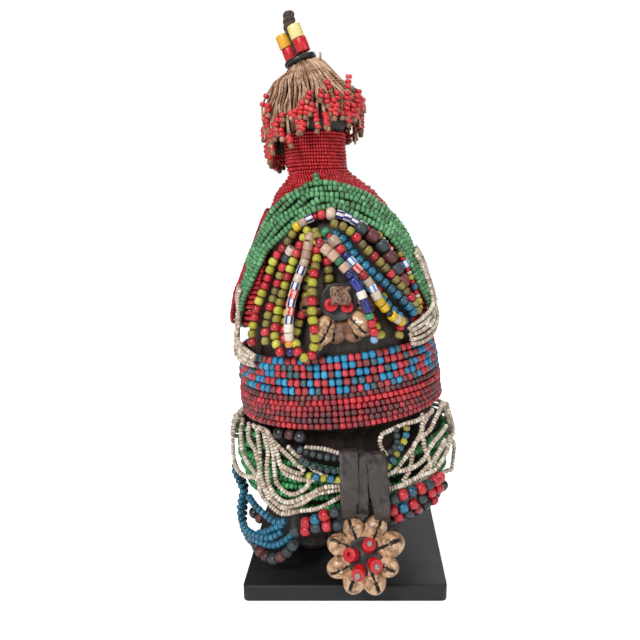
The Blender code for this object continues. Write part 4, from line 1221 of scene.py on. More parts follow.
TUBE_GLASS = {}
for kind, name, tone in (
    ("red", "red_tube_glass", ((0.55, 0.012, 0.018), (0.45, 0.010, 0.015), (0.68, 0.05, 0.05), 0.1, 0.2)),
    ("yellow", "pale_yellow_tube_glass",
     ((0.80, 0.66, 0.26), (0.7, 0.5, 0.2), (0.86, 0.76, 0.42), 0.2, 0.3)),
    ("orange", "orange_tube_glass", ((0.75, 0.38, 0.03), (0.6, 0.28, 0.03), (0.82, 0.5, 0.08), 0.2, 0.3)),
):
    TUBE_GLASS[kind] = glass(name, *tone, 0.15, 0.3)


def drilled_tube(radius, length, bore, place, finish, sides=24):
    """A short length of drawn glass cane, its ends ground flat and its bore open."""
    only()
    bpy.ops.mesh.primitive_cylinder_add(
        vertices=sides, radius=radius, depth=length, location=(0, 0, length / 2),
    )
    made = bpy.context.object
    bpy.ops.object.transform_apply(location=True)
    for end in (0, 1):
        pick(made, lambda co: abs(co.z - end * length) < 1e-6, "FACE")
        bpy.ops.mesh.inset(thickness=radius - bore)
        bpy.ops.mesh.extrude_region_move(
            TRANSFORM_OT_translate={"value": (0, 0, (0.4 - 0.8 * end) * length)},
        )
    pick(made, lambda a, b: abs(a.z - b.z) < 1e-6 and math.hypot(a.x, a.y) > radius * 0.98
         and min(abs(a.z), abs(a.z - length)) < 1e-6, "EDGE")
    bpy.ops.mesh.bevel(offset=radius * 0.12, segments=3, affect="EDGES")
    bpy.ops.object.mode_set(mode="OBJECT")
    made.data.transform(place)
    made.data.materials.append(finish)
    finish_shape(made, 40)
    return made


def twine_clump(title, place, size, finish, seed, turns=5):
    """A knot: one thread wound back and forth over itself."""
    rng = random.Random(seed)
    t = np.linspace(0, 2 * math.pi * turns, 34 * turns)
    a, b, c = rng.uniform(0, 6), rng.uniform(0, 6), rng.uniform(0, 6)
    line = np.stack((
        size * 0.9 * np.sin(t + a) * np.cos(t * 0.37 + b), size * 0.75 * np.cos(t * 1.13 + b),
        size * 0.45 * np.sin(t * 0.71 + c) + size * 0.5,
    ), -1)
    turned = np.array(place.to_3x3())
    line = line @ turned.T + np.array(place.translation) * 1000
    return tube_lines(title, [line], 0.76, 6, finish)


chest_point, chest_out = laid([4.0], [165.0], [EASE])
chest = frame_at(Vector(chest_point[0] * MM), chest_out[0])
cowrie_ring("chest_shells", "chest_cowries", chest, (
    (98, 5.0, 1.4, 10, True), (262, 5.0, 1.4, -10, True), (186, 8.5, 0.8, 8, True),
    (154, 9.0, 0.8, -12, True), (209, 8.2, 3.6, -26, False), (136, 8.2, 3.6, 24, False),
), 3)
disc("chest_button", "chest_disc", chest)
# Radius, length and bore
CHEST_RING = (0.0036, 0.0032, 0.0015)
over_chest = chest @ Matrix.Translation((0, 0, OVER_DISC))
for title, node, x, y in (
    ("chest_ring_left", "chest_red_bead_left", -0.0042, -0.0018),
    ("chest_ring_right", "chest_red_bead_right", 0.0046, -0.0026),
):
    ring = drilled_tube(*CHEST_RING, over_chest @ Matrix.Translation((x, y, 0)), TUBE_GLASS["red"])
    ring.name = title
    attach(ring, "root")
    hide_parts(node)
knot = twine_clump(
    "chest_knot", over_chest @ Matrix.Translation((0.0010, 0.0032, 0.0004)), 5.8, brown_twine, 8, 15,
)
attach(knot, "root")
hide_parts("chest_twine_knot")


# Side strands
# Four red strands hang out at the left and come back behind. Cream strands hang down both sides and
# are drawn together under the necklaces. All are small seed beads on thread.
def parallel(title, node, route, rows, gap, lift, kind, wide, long, seed):
    """Strands side by side along one route, drawn together at its ends."""
    beads = []
    line = smooth_line(route, 12)
    for row in range(rows):
        spread = 0.35 + 0.65 * np.sqrt(np.sin(np.pi * np.linspace(0.02, 0.98, len(line))))
        moved = beside(line, (row - (rows - 1) / 2) * gap * spread)
        wave = np.linspace(0, 6, len(line))
        over = lift + line[:, 2] + 0.5 * np.sin(wave * 2 + row * 2.2) + 0.35 * (row % 2)
        points, out = laid(moved[:, 0], moved[:, 1], over + wide / 2)
        beads += thread(points, out, seed_beads(0, wide, long), seed + row, uneven=0.08, wobble=0.08)
    piece = bead_piece(title, beads, [kind])
    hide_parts(node)


RED_LOOP = (
    (-70, 213, 0.2), (-77, 205, 0.4), (-82, 190, 1.5), (-86, 172, 3.2), (-90, 157, 5.8), (-97, 149, 6.5),
    (-106, 154, 4.5), (-111, 172, 1.5), (-109, 193, 0.4), (-100, 208, 0.2),
)
third_layer = 2 * GAP + RED + EASE + GREEN + GAP
parallel(
    "red_loop_strands", "red_side_loop", RED_LOOP,
    4, 2.4, 2 * GAP + RED - 0.6, red_seed, 2.6, 1.9, 210,
)
cream_seed = glass(
    "cream_seed_glass", (0.60, 0.49, 0.38), (0.36, 0.25, 0.17), (0.80, 0.72, 0.62),
    0.3, 0.35, 0.55, 0.4,
)
SIDE_CREAM = 2.6
parallel(
    "cream_side_strands_left", "cream_side_left",
    ((-72, 167, 0.2), (-77, 157, -0.9), (-78, 148, -1.2), (-72, 140, -0.2), (-59, 135, 0.4),
     (-46, 133, 0.2)),
    4, 3.3, third_layer - 2.0, cream_seed, SIDE_CREAM, 1.8, 230,
)
parallel(
    "cream_side_strands_right", "cream_side_right",
    ((76, 189, 0.0), (83, 177, 0.4), (87, 164, 0.8), (84, 153, 0.6), (70, 146, 0.4), (54, 142, 0.2),
     (44, 141, 0)),
    5, 3.4, third_layer - 2.0, cream_seed, SIDE_CREAM, 1.8, 240,
)


# Belts
# Five rows of blue and scarlet beads in pairs, each row stepped on from the one above, and six rows of
# smaller dark red beads under them. They are threaded on sinew and stitched to a hidden backing.
azure = glass(
    "azure_glass", (0.010, 0.22, 0.42), (0.045, 0.105, 0.115), (0.03, 0.34, 0.58),
    0.42, 0.2, 0.55, 0.36,
)
coral = glass(
    "coral_glass", (0.46, 0.028, 0.036), (0.20, 0.035, 0.035), (0.62, 0.04, 0.075),
    0.35, 0.25, 0.55, 0.38,
)
dark_red = glass(
    "dark_red_glass", (0.29, 0.018, 0.028), (0.12, 0.020, 0.025), (0.46, 0.035, 0.045),
    0.35, 0.25, 0.6, 0.36,
)
bright_red = glass(
    "bright_red_glass", (0.56, 0.018, 0.028), (0.28, 0.018, 0.024), (0.68, 0.045, 0.055),
    0.25, 0.3, 0.5, 0.34,
)
old_maroon = glass(
    "old_maroon_glass", (0.13, 0.030, 0.034), (0.055, 0.024, 0.026), (0.24, 0.055, 0.055),
    0.35, 0.2, 0.6, 0.4,
)
BELT = 4.3
BELT_WIDE, BELT_LONG = 4.6, 4.0
BELT_TOP = 136.0
LOWER = 3.4


def paired(offset):
    """Beads of two colours in pairs, begun a few beads on, with a wrong one now and then."""
    def pattern(k, rng):
        first = ((k + offset) // 2) % 2 == 0
        if rng.random() < 0.06:
            first = not first
        return "ball", 0 if first else 1, BELT_WIDE, BELT_LONG
    return pattern


BELT_STEPS = (0, 3, 1, 2, 0)
belt_beads = []
belt_heights = heights_down(BELT_TOP, BELT / 2, 2 * len(BELT_STEPS))
for row, offset in enumerate(BELT_STEPS):
    angles = np.arange(0, 360, 3.0)
    heights = belt_heights[2 * row + 1] + 0.5 * np.sin(np.radians(angles * 2 + row * 70))
    points, out = laid(
        angles, heights, 2 * GAP + BELT / 2 + 0.25 * np.sin(np.radians(angles * 7 + row * 90)),
    )
    belt_beads += thread(points, out, paired(offset), 300 + row, closed=True, uneven=0.06, wobble=0.06)
belt = bead_piece("blue_red_belt", belt_beads, [azure, coral])
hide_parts("belt_blue_red")


def mixed_row(main, other, share):
    """Beads of one glass with a share of another mixed in."""
    def pattern(k, rng):
        return "ball", other if rng.random() < share else main, LOWER + 0.5, 3.5
    return pattern


# Row by row down: the main glass, the one mixed in, and its share
LOWER_MIX = ((2, 0, 0.2), (1, 0, 0.25), (0, 1, 0.2), (0, 2, 0.25), (0, 2, 0.4), (0, 1, 0.3))
lower_beads = []
lower_heights = heights_down(belt_heights[-1] - GAP, LOWER / 2, 2 * len(LOWER_MIX))
for row, (main, other, share) in enumerate(LOWER_MIX):
    angles = np.arange(0, 360, 3.0)
    heights = lower_heights[2 * row + 1] + 0.5 * np.sin(np.radians(angles * 3 + row * 50))
    points, out = laid(
        angles, heights, 2 * GAP + LOWER / 2 + 0.3 * np.sin(np.radians(angles * 5 + row * 60)),
    )
    lower_beads += thread(
        points, out, mixed_row(main, other, share), 330 + row, closed=True, uneven=0.08, wobble=0.08,
    )
lower = bead_piece("dark_red_belt", lower_beads, [dark_red, bright_red, old_maroon])
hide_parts("belt_dark_red")


# Waist strands
# A thick roll of dark cloth under the belt carries green strands wound round it, and over those hang
# loops of cream, blue and larger slate and red beads.
WAIST = np.array((
    (0, 60, 50, 45), (38, 60, 50, 45), (44, 63, 51, 46), (52, 67, 53, 48), (62, 68, 54, 49),
    (72, 68, 52, 48), (80, 67, 47, 46), (87, 64, 44, 44), (100, 62, 44, 44),
))


def hank_top(angle):
    """The roll's upper edge dips at the front, where the carved waist shows."""
    return 84.0 - 15.0 * np.maximum(0.0, np.cos(np.radians(angle - 8.0))) ** 3


def waist_roll():
    """A grid round the waist: ribs of rolled cloth outside, the carved body's own shape inside."""
    turns, ribs = 72, 7
    rings = []
    for j in range(turns):
        angle = 360.0 * j / turns
        top, bottom = float(hank_top(angle)), 40.0
        outside = []
        for i in range(6 * ribs + 1):
            height = top + (bottom - top) * i / (6 * ribs)
            bulge = -3.9 - 1.6 * (1 - abs(math.sin(math.pi * i / 6))) + 0.5 * math.sin(angle * 0.3 + i)
            outside.append(laid([angle], [height], [bulge], WAIST)[0][0])
        inside = [laid([angle], [bottom + (top - bottom) * i / 8], [0.4])[0][0] for i in range(9)]
        rings.append(outside + inside)
    count = len(rings[0])
    faces = [
        (j * count + i, j * count + (i + 1) % count, (j + 1) % turns * count + (i + 1) % count,
         (j + 1) % turns * count + i)
        for j in range(turns) for i in range(count)
    ]
    mesh = bpy.data.meshes.new("waist_roll")
    mesh.from_pydata([tuple(p * MM) for ring in rings for p in ring], [], faces)
    made = bpy.data.objects.new("waist_roll", mesh)
    scene.collection.objects.link(made)
    only(made)
    pick(made, lambda co: True)
    bpy.ops.mesh.normals_make_consistent(inside=False)
    bpy.ops.object.mode_set(mode="OBJECT")
    return made


roll = waist_roll()
dark_cloth = finish_from("dark_cloth", OLD_LEATHER, {
    "Hide": (0.026, 0.016, 0.014, 1), "Crease": (0.008, 0.006, 0.006, 1), "Rubbed": (0.06, 0.045, 0.04, 1),
    "Scale": 1.4, "Roughness": 0.85,
}, bump=0.0005, strength=0.8)
roll.data.materials.append(dark_cloth)
finish_shape(roll)
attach(roll, "root")
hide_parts("waist_hank")

waist_green = glass(
    "waist_green_glass", (0.035, 0.29, 0.085), (0.018, 0.13, 0.04), (0.10, 0.46, 0.17),
    0.3, 0.25, 0.5, 0.3,
)
WAIST_ROWS = 8
WAIST_LOW, WAIST_STEP = 44.0, 5.3
WAIST_WIDE, WAIST_LONG = 3.9, 3.1
green_waist = []
for row in range(WAIST_ROWS):
    angles = np.arange(0, 360, 3.0)
    level = WAIST_LOW + WAIST_STEP * row
    swing = 2.2 * np.sin(np.radians(angles * 2 + row * 75))
    swing = swing + 1.2 * np.sin(np.radians(angles * 5 + row * 40))
    heights = np.minimum(level + swing, hank_top(angles) - 1.5)
    points, out = laid(angles, heights, -1.9 + 0.6 * np.sin(np.radians(angles * 3 + row * 95)), WAIST)
    green_waist += thread(
        points, out, seed_beads(0, WAIST_WIDE, WAIST_LONG), 360 + row, closed=True, uneven=0.1, wobble=0.1,
    )
greens = bead_piece("green_waist_strands", green_waist, [waist_green])

CREAM = 2.9
CREAM_LINES = (
    ((-84, 88, 1), (-76, 73, 2), (-78, 60, 2), (-68, 55, 2), (-55, 56, 2), (-46, 58, 2), (-36, 50, 1)),
    ((-70, 90, 1), (-61, 77, 2), (-56, 68, 2), (-49, 63, 2), (-43, 59, 2), (-38, 52, 2), (-35, 44, 2),
     (-26, 41, 2)),
    ((-60, 90, 1), (-52, 79, 3), (-45, 73, 3), (-42, 65, 3), (-43, 55, 3), (-43, 48, 3), (-38, 41, 3),
     (-32, 39, 3), (-21, 44, 3), (-12, 47, 3), (-6, 51, 3), (2, 56, 2)),
    ((-55, 90, 1), (-47, 83, 2), (-43, 74, 2), (-42, 64, 2), (-41, 55, 2), (-37, 46, 2), (-30, 44, 2),
     (-19, 50, 3), (-10, 57, 3), (2, 60, 2)),
    ((-50, 90, 1), (-42, 84, 3), (-37, 75, 3), (-37, 66, 3), (-36, 57, 3), (-32, 51, 3), (-27, 49, 3),
     (-17, 54, 3), (-8, 61, 4), (2, 62, 3)),
    ((-49, 89, 1), (-39, 83, 2), (-34, 74, 2), (-33, 67, 2), (-32, 60, 2), (-28, 55, 2), (-23, 54, 2),
     (-17, 59, 3), (-13, 64, 4), (-7, 66, 5), (2, 64, 4)),
    ((-46, 89, 1), (-35, 81, 3), (-31, 74, 3), (-29, 70, 3), (-27, 66, 3), (-21, 64, 3), (-14, 64, 4),
     (-8, 67, 5), (-4, 65, 5), (3, 64, 4)),
    ((-45, 88, 1), (-34, 80, 2), (-28, 76, 2), (-20, 71, 3), (-17, 70, 4), (-18, 67, 4), (-23, 68, 4),
     (-28, 70, 3)),
    ((-26, 79, 3), (-21, 75, 3), (-15, 72, 4), (-9, 68, 5), (-4, 65, 6), (3, 64, 5)),
    ((70, 91, 1), (86, 88, 2), (91, 79, 2), (86, 73, 2), (68, 74, 2), (58, 71, 2), (50, 64, 2)),
    ((66, 76, 3), (84, 64, 3), (82, 57, 3), (78, 52, 3), (65, 56, 3), (54, 58, 3), (40, 60, 3)),
    ((47, 92, 1), (47, 90, 3), (45, 86, 3), (44, 76, 3), (47, 68, 3), (47, 63, 3), (43, 59, 3),
     (30, 58, 3)),
    ((58, 91, 1), (43, 90, 3), (32, 90, 4), (23, 88, 5), (19, 83, 5), (20, 77, 5), (23, 75, 5), (28, 79, 5),
     (34, 84, 4)),
    ((58, 92, 1), (49, 88, 2), (41, 81, 3), (35, 75, 3), (29, 71, 4), (26, 68, 4), (20, 65, 4)),
    ((72, 92, 1), (60, 89, 3), (52, 84, 3), (40, 80, 3), (36, 74, 3), (34, 66, 3), (30, 61, 3)),
    ((68, 82, 3), (52, 77, 3), (41, 69, 3), (32, 67, 4), (24, 67, 4), (19, 64, 4)),
    ((62, 76, 3), (45, 65, 3), (34, 60, 4), (26, 60, 5), (19, 60, 4)),
    ((67, 74, 4), (52, 63, 4), (40, 62, 4), (27, 60, 5), (19, 57, 4)),
)
cream_beads = []
for k, route in enumerate(CREAM_LINES):
    line = smooth_line(route, 14)
    points, out = laid(line[:, 0], line[:, 1], CREAM / 2 + line[:, 2], WAIST)
    cream_beads += thread(points, out, seed_beads(0, CREAM, 1.85), 400 + k, uneven=0.1, wobble=0.1)
# Rows behind hang between two angles from one height, each lower in its middle than the last
ROWS_BEHIND = 9
BEHIND_FROM, BEHIND_TO = 78.0, 284.0
BEHIND_TOP, BEHIND_FIRST, BEHIND_STEP = 89.0, 83.0, 4.0
for k in range(ROWS_BEHIND):
    share = np.linspace(0, 1, 60)
    angles = BEHIND_FROM + (BEHIND_TO - BEHIND_FROM) * share
    drop = BEHIND_TOP - BEHIND_FIRST + BEHIND_STEP * k
    heights = BEHIND_TOP - drop * np.sin(np.pi * share) ** 0.45 + 1.2 * np.sin(share * 9 + k)
    points, out = laid(angles, heights, CREAM / 2 + 0.6 + 0.9 * (k % 3), WAIST)
    cream_beads += thread(points, out, seed_beads(0, CREAM, 2.1, "plain"), 430 + k, uneven=0.1, wobble=0.1)
creams = bead_piece("cream_waist_beads", cream_beads, [cream_seed])
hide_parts("cream_waist_strands")

hung("blue_outer_loop_beads", "blue_waist_loop", (
    (((-76, 56, 0), (-78, 47, 1), (-79, 37, 2), (-79, 27, 4), (-75, 18, 5), (-64, 14, 5), (-50, 15, 4),
      (-38, 17, 4), (-29, 24, 3), (-23, 33, 2)), "u"),
    (((-73, 54, 1), (-74, 45, 2), (-75, 34, 4), (-73, 26, 6), (-65, 19, 6), (-52, 19, 5), (-41, 21, 4),
      (-33, 27, 2)), "u"),
    (((-80, 50, 0), (-83, 38, 1), (-84, 24, 2), (-80, 14, 3), (-68, 9, 3), (-55, 9, 2)), "u"),
), WAIST)
hung("blue_inner_loop_beads", "blue_inner_loop", (
    (((-68, 37, 1), (-58, 35, 1), (-48, 33, 1), (-38, 31, 1), (-31, 34, 1)), "u"),
    (((-33, 31, 1), (-39, 27, 1), (-46, 22, 2), (-54, 18, 2)), "u"),
), WAIST)
hung("slate_loop_beads", "slate_pink_loop", (
    (((-60, 15, 2), (-53, 11, 3), (-44, 9.5, 5), (-36, 10.5, 6), (-29, 16, 6), (-23, 25, 5)), "faffafaaf"),
    (((-64, 29, -1), (-56, 28, -1), (-48, 27, -1)), "hfh"),
), WAIST)
hung("red_slate_beads_left", "red_slate_strand_left", (
    (((-26, 31, 5), (-16, 34, 5), (-8, 38, 5), (1, 40, 5)), "aRaRaa"),
    (((-20, 38, 4), (-14, 41, 4), (-9, 45, 4), (-5, 48, 4), (2, 50, 4)), "RBRaRM"),
    (((-20, 78, 3), (-12, 75.5, 4), (-6, 74.5, 4), (2, 73.5, 4)), "q"),
    (((-19, 73.5, 3), (-12, 71.5, 4), (-6, 70.5, 4), (2, 69.5, 4)), "q"),
    (((-35, 86, 0), (-28, 86, 1), (-21, 85, 2), (-16, 84, 2)), "hfh"),
    (((-15, 67, 4), (-10, 66.5, 5), (-6, 66, 5), (2, 65, 5)), "ixixixix"),
    (((-17, 79, 2), (-10, 79, 3), (-5, 78, 3), (1, 76, 3)), "ddddddd"),
), WAIST)
hung("red_slate_beads_right", "red_slate_strand_right", (
    (((22, 53, 4), (31, 56, 4), (37, 57, 5), (43, 58, 5), (49, 58, 4), (55, 58, 2)), "aRBRaRRa"),
    (((22, 47, 4), (32, 49, 5), (38, 51, 5), (44, 53, 5), (53, 53, 5)), "RBRaRRa"),
    (((26, 42, 4), (31, 42, 5), (37, 45, 5), (47, 47, 5), (54, 47, 4)), "RaRaR"),
    (((34, 90, 4), (33, 85, 4), (31, 81, 4), (28, 77, 4), (25, 73, 4), (20, 70, 4)), "ixix"),
    (((28, 90, 3), (28, 83, 3), (26, 78, 4), (22, 75, 4)), "q"),
), WAIST)
hung("dark_roll_beads", "dark_waist_roll", (
    (((24, 36, 0), (30, 35, 0), (40, 37, 0), (54, 40, 0)), "hfhh"),
    (((30, 42, 1), (40, 43, 1), (54, 46, 1), (62, 52, 1)), "hhfh"),
), WAIST)


# Leather wrap
# Three straps of dark hide folded round the gathered waist strands, stitched shut behind. The hide is
# soft and creased, its edges rubbed paler, with a small turned back corner at the bottom.
clasp_hide = finish_from("clasp_hide", OLD_LEATHER, {
    "Hide": (0.050, 0.038, 0.035, 1), "Crease": (0.012, 0.009, 0.008, 1),
    "Rubbed": (0.115, 0.096, 0.092, 1), "Scale": 0.9, "Roughness": 0.55,
}, bump=0.0005, strength=0.9)
hide_folds = bpy.data.textures.new("hide_folds", "CLOUDS")
hide_folds.noise_scale = 0.0065
hide_folds.noise_depth = 3


def strap(top_x, bottom_x, top_width, bottom_width, top_z, bottom_z, face_y):
    """A soft strap: a block cut up, its ends drawn back and narrowed, rounded and creased."""
    only()
    thick = 0.0050
    high = top_z - bottom_z
    bpy.ops.mesh.primitive_cube_add(size=1.0, scale=(top_width, thick, high))
    made = bpy.context.object
    bpy.ops.object.transform_apply(scale=True)
    pick(made, lambda co: True)
    bpy.ops.mesh.subdivide(number_cuts=6)
    for share, back in ((0.30, 0.0016), (0.40, 0.0026), (0.47, 0.0034)):
        for side in (1, -1):
            pick(made, lambda co: co.z * side > share * high)
            bpy.ops.transform.translate(value=(0, back, 0))
    for share in (0.0, 0.15, 0.30, 0.40, 0.47):
        pick(made, lambda co: -co.z > share * high)
        narrow = (bottom_width / top_width) ** 0.2
        bpy.ops.transform.resize(value=(narrow, 1, 1), center_override=(0, 0, 0))
    for share in (-0.40, -0.25, -0.05, 0.10, 0.25, 0.40):
        pick(made, lambda co: -co.z > share * high)
        bpy.ops.transform.translate(value=((bottom_x - top_x) / 6, 0, 0))
    pick(made, lambda co: True)
    bpy.ops.transform.translate(value=(top_x, face_y + thick / 2, (top_z + bottom_z) / 2))
    bpy.ops.object.mode_set(mode="OBJECT")
    rounded = made.modifiers.new("rounded", "SUBSURF")
    rounded.levels = 2
    folds = made.modifiers.new("folds", "DISPLACE")
    folds.texture = hide_folds
    folds.texture_coords = "GLOBAL"
    folds.strength = 0.0030
    folds.mid_level = 0.5
    apply_all(made)
    made.data.materials.append(clasp_hide)
    return finish_shape(made)


straps = [
    strap(0.0026, 0.0030, 0.0106, 0.0078, 0.0920, 0.0495, -0.0636),
    strap(0.0094, 0.0106, 0.0076, 0.0040, 0.0905, 0.0485, -0.0626),
    strap(0.0178, 0.0224, 0.0112, 0.0070, 0.0905, 0.0470, -0.0638),
]
clasp = joined("clasp_straps", straps)
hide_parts("leather_clasp")

only()
bpy.ops.mesh.primitive_cone_add(
    vertices=3, radius1=0.0042, radius2=0.0034, depth=0.0012, location=(0.0098, -0.0642, 0.0560),
)
corner = bpy.context.object
corner.rotation_euler = (math.radians(78), math.radians(180), math.radians(6))
bpy.ops.object.transform_apply(location=True, rotation=True)
pick(corner, lambda co: True)
bpy.ops.mesh.bevel(offset=0.0003, segments=2, affect="EDGES")
bpy.ops.object.mode_set(mode="OBJECT")
corner.data.materials.append(clasp_hide)
corner.name = "clasp_corner"
finish_shape(corner, 40)
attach(corner, "root")


# Hip pendant
# A full round of eight cowrie shells under a leather button, with four red cane beads tied on by
# knots of pale wire. It hangs from the wrap and leans back over the edge of the base.
hip = frame_at(Vector((0.0112, -0.0630, 0.0315)), (0.0, -1.0, 0.52))
cowrie_ring("hip_shells", "hip_cowries", hip, tuple(
    (turn, 4.9 + 1.3 * math.cos(math.radians(turn)), 2.0 + 0.7 * (k % 2), (-1) ** k * 14, False)
    for k, turn in enumerate(np.arange(22.5, 360, 45))
), 5)
disc("hip_button", "hip_disc", hip)
bpy.data.objects.remove(cowrie)
pale_wire = glass(
    "pale_wire", (0.34, 0.31, 0.29), (0.24, 0.21, 0.19), (0.52, 0.50, 0.48),
    0.3, 0.3, 0.3, 0.4,
)
HIP_TUBE = (0.0038, 0.0060, 0.0014)
over_hip = hip @ Matrix.Translation((0, 0, OVER_DISC))
wire_beads = []
for title, node, x, y in (
    ("hip_tube_left", "hip_red_bead_left", -0.0060, 0.0008),
    ("hip_tube_top", "hip_red_bead_top", 0.0020, 0.0048),
    ("hip_tube_right", "hip_red_bead_right", 0.0048, -0.0034),
    ("hip_tube_bottom", None, -0.0026, -0.0068),
):
    outwards = Vector((x, y, 0.012)).normalized()
    facing = outwards.to_track_quat("Z", "Y").to_matrix().to_4x4()
    stand = over_hip @ Matrix.Translation((x, y, 0.0)) @ facing
    tube = drilled_tube(*HIP_TUBE, stand, TUBE_GLASS["red"])
    tube.name = title
    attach(tube, "root")
    if node:
        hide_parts(node)
    tip = stand @ Vector((0, 0, HIP_TUBE[1] + 0.0004))
    if node != "hip_red_bead_left":
        way = np.array((stand.to_3x3() @ Vector((1, 0.4, 0))).normalized())
        front = np.array(stand.to_3x3() @ Vector((0, 0, 1)))
        wire_beads.append(("round", 0, 3.2, 3.0, np.array(tip) * 1000, way, front, 0.3, 0.2))
        wire_beads.append(
            ("seed", 0, 2.2, 1.6, np.array(tip) * 1000 + front * 1.5, way + front, front, -0.3, 0.7),
        )
wires = bead_piece("hip_knots", wire_beads, [pale_wire])
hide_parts("hip_pale_knot")


# Wig
# Many lengths of hand rolled tan string, knotted at the crown and hanging round the head, each ended
# with red beads and a knot. A close cap of dark string lies under them.
tan_string = finish_from("tan_string", TWISTED_THREAD, {
    "Fibre": (0.31, 0.150, 0.082, 1), "Shadow": (0.055, 0.022, 0.012, 1), "Pale": (0.76, 0.51, 0.34, 1),
    "Twist": 5.0, "Plies": 2.0,
}, bump=0.00030, strength=1.0)
cap_string = finish_from("cap_string", TWISTED_THREAD, {
    "Fibre": (0.10, 0.036, 0.024, 1), "Shadow": (0.03, 0.012, 0.008, 1), "Pale": (0.16, 0.07, 0.045, 1),
    "Twist": 5.0, "Plies": 2.0,
}, bump=0.0002, strength=0.8)


def around(angle, height, radius):
    """A point in mm round the figure's leaning middle line."""
    turn = math.radians(angle)
    lean = np.interp(height, LEAN[:, 0], LEAN[:, 1])
    return np.array((lean + radius * math.sin(turn), -radius * math.cos(turn), FOOT + height))


def crown(rise):
    """A place in metres over the wig's top, which leans to the left."""
    top = Matrix.Translation(Vector(around(0, 297, 0)) * MM)
    return top @ Matrix.Rotation(math.radians(-21), 4, "Y") @ Matrix.Translation((0, 0, rise * MM))


def hem(angle):
    """The height at which the wig's strings end: higher at the front and at the right."""
    turn = math.radians(angle)
    return 256.5 + 11 * math.sin(turn) + 8 * math.cos(turn)


cap = copied_node("wig", "wig_cap")
sink = cap.modifiers.new("sink", "DISPLACE")
sink.strength = -0.0010
sink.mid_level = 0.0
apply_all(cap)
cap.data.materials.append(cap_string)
finish_shape(cap, 70)
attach(cap, "root")
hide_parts("wig")


def string_line(rng, angle, end, lift):
    """One string from the ring over the crown and down to its end, with its own sway."""
    drift = rng.uniform(-10, 10)
    points = []
    for out, up, share in ((5.0, -0.3, 0.0), (9.0, -0.7, 0.05), (12.4, -3.4, 0.15)):
        turn = math.radians(angle + drift * share)
        spot = crown(0) @ Vector(
            (out * MM * math.sin(turn), -out * MM * math.cos(turn), (up + lift * 0.5) * MM),
        )
        points.append(np.array(spot) * 1000)
    for height, radius, share in (
        (286.5, 18.9, 0.3), (280, 23.0, 0.5), (272.5, 26.2, 0.7), (264, 27.4, 0.85),
    ):
        if height > end + 5:
            points.append(around(angle + drift * share + rng.uniform(-1.5, 1.5), height, radius + lift))
    low = float(np.interp(end, (240, 264, 272.5, 280, 286.5), (27.0, 27.4, 26.2, 23.0, 18.9)))
    flare = rng.uniform(-0.4, 1.4)
    points.append(around(angle + drift, end + 1.5, low + lift + flare * 0.7))
    points.append(around(angle + drift + rng.uniform(-2, 2), end - 2.5, low + lift + flare))
    return smooth_line(points, 4)


rng = random.Random(71)
strings, end_beads = [], []
string_red = glass(
    "string_end_red_glass", (0.58, 0.016, 0.024), (0.30, 0.012, 0.016), (0.70, 0.06, 0.06),
    0.2, 0.25, 0.4, 0.28,
)
string_knot = glass(
    "string_end_knot", (0.27, 0.13, 0.075), (0.15, 0.065, 0.038), (0.46, 0.27, 0.17),
    0.3, 0.3, 0.7, 0.8, 0.0,
)
# From the inside out: how many strings, their lift, and how far over the hem they end, least and most
STRING_LAYERS = ((88, 0.0, -5.0, 4.0), (46, 1.5, 3.0, 12.0), (18, 2.6, 9.0, 18.0))
for count, lift, least, most in STRING_LAYERS:
    for k in range(count):
        angle = 360.0 * (k + 0.5) / count + rng.uniform(-2.2, 2.2)
        share = max(0.0, math.sin(math.radians(angle)))
        end = hem(angle) + rng.uniform(least, most - 4 * share)
        line = string_line(rng, angle, end, lift)
        strings.append(line)
        if rng.random() < 0.12:
            continue
        way = unit(line[-1] - line[-3])
        front = unit(line[-1] - around(0, line[-1][2] - FOOT, 0))
        number = rng.choice((1, 2, 2, 2, 3))
        for j in range(number):
            spot = line[-1] - way * (2.8 + (number - 1 - j) * 2.6)
            tilt = front * rng.uniform(-0.1, 0.1)
            end_beads.append(
                ("seed", 0, 3.9, 2.6, spot, way + tilt, front, rng.uniform(-1, 1), rng.random()),
            )
        end_beads.append(
            ("seed", 1, 3.0, 3.0, line[-1] - way * 0.1, way, front, rng.uniform(-1, 1), rng.random()),
        )
stray = smooth_line((
    around(62, 292, 15), around(72, 288, 21), around(82, 284, 26),
    around(88, 278, 29.5), around(90, 271, 30.5),
), 6)
left_loop = smooth_line((
    around(-60, 292, 13), around(-64, 288, 19), around(-70, 282, 26),
    around(-72, 273, 30.5), around(-68, 262, 30), around(-60, 254, 28.5),
), 6)
poke = smooth_line((around(30, 296, 9), around(50, 298, 11), around(66, 301, 13), around(70, 304, 13.5)), 6)
hair = tube_lines("wig_strings", strings + [stray, left_loop, poke], 0.70, 6, tan_string)
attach(hair, "root")
for k in (14, 17):
    way = unit(left_loop[k + 1] - left_loop[k - 1])
    end_beads.append(("seed", 0, 3.5, 2.8, left_loop[k], way, np.array((0.0, -1.0, 0.0)), 0.2, 0.4))
ends = bead_piece("wig_end_beads", end_beads, [string_red, string_knot])


# Ring, tube beads and top cord
# A black ring sits on the crown and holds the strings. Four glass cane beads stand in it round a
# twisted dark cord, which is doubled over in a knot above them.
black_ring = finish_from("black_ring", OLD_LEATHER, {
    "Hide": (0.012, 0.011, 0.011, 1), "Crease": (0.006, 0.005, 0.005, 1), "Rubbed": (0.05, 0.047, 0.045, 1),
    "Scale": 1.2, "Roughness": 0.36,
}, bump=0.00015, strength=0.5)
only()
bpy.ops.mesh.primitive_torus_add(
    major_radius=0.0082, minor_radius=0.0016, major_segments=56, minor_segments=14,
)
ring = bpy.context.object
ring.data.transform(crown(3.6))
ring.data.materials.append(black_ring)
ring.name = "crown_ring"
finish_shape(ring)
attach(ring, "root")
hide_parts("top_ring")

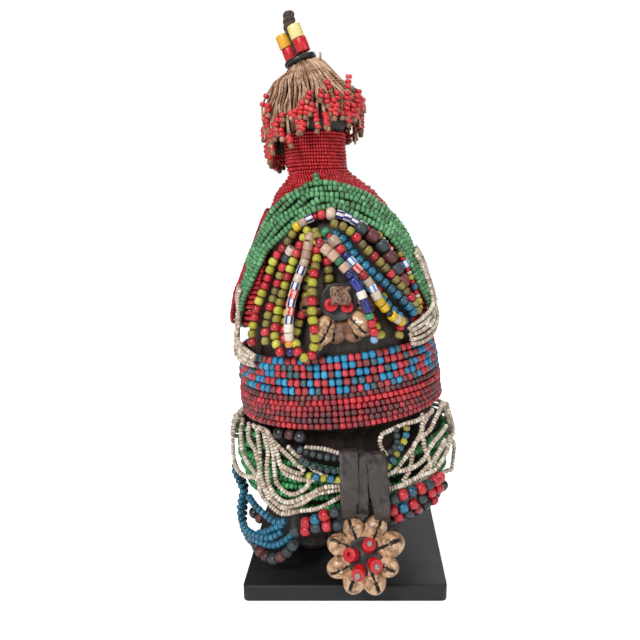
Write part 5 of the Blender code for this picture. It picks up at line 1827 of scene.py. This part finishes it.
CANE_LONG = 7.6
for title, node, colour, angle, level in (
    ("crown_tube_red_right", "red_tube_bead_right", "red", 48, 0),
    ("crown_tube_red_left", "red_tube_bead_left", "red", 228, 0),
    ("crown_tube_yellow", "yellow_tube_bead", "yellow", 42, 1),
    ("crown_tube_orange", "orange_tube_bead", "orange", 236, 1),
):
    turn = math.radians(angle)
    right = angle < 90
    apart = (5.0 if right else 6.0) * MM
    aside = Matrix.Translation((apart * math.sin(turn), -apart * math.cos(turn), 0))
    stand = crown((6.6 if right else 5.6) + level * (CANE_LONG + 0.2)) @ aside
    tube = drilled_tube(0.0041, CANE_LONG * MM, 0.0012, stand, TUBE_GLASS[colour], 32)
    tube.name = title
    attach(tube, "root")
    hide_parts(node)

dark_twine = finish_from("dark_twine", TWISTED_THREAD, {
    "Fibre": (0.030, 0.018, 0.013, 1), "Shadow": (0.008, 0.005, 0.004, 1), "Pale": (0.085, 0.058, 0.046, 1),
    "Twist": 4.0, "Plies": 2.0,
}, bump=0.00022, strength=0.9)
# The loop over the tube beads: places to the right and up from their top, in mm
CORD_LOOP = (
    (0.4, -1), (1.5, 2.5), (2.9, 5.6), (4.0, 8.6), (3.4, 10.6),
    (1.6, 9.6), (0.4, 6.6), (-0.6, 3.4), (-0.8, 0.8),
)
beads_top = 2.4 + 2 * CANE_LONG + 1.6
cord_path = [np.array(crown(rise).translation) * 1000 for rise in (0.3, beads_top / 2)]
cord_path += [np.array(crown(beads_top) @ Vector((side * MM, 0, up * MM))) * 1000 for side, up in CORD_LOOP]
middle = smooth_line(cord_path, 12)
along = unit(np.gradient(middle, axis=0))
side = unit(np.cross(along, [0.0, 1.0, 0.0]))
other = np.cross(along, side)
run = np.concatenate(([0], np.cumsum(np.linalg.norm(np.diff(middle, axis=0), axis=1))))
plies = []
for phase in (0.0, math.pi):
    wind = run[:, None] * 2 * math.pi / 6.5 + phase
    plies.append(middle + (side * np.cos(wind) + other * np.sin(wind)) * 1.05)
cord = tube_lines("crown_cord", plies, 1.25, 10, dark_twine)
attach(cord, "root")
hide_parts("top_cord")
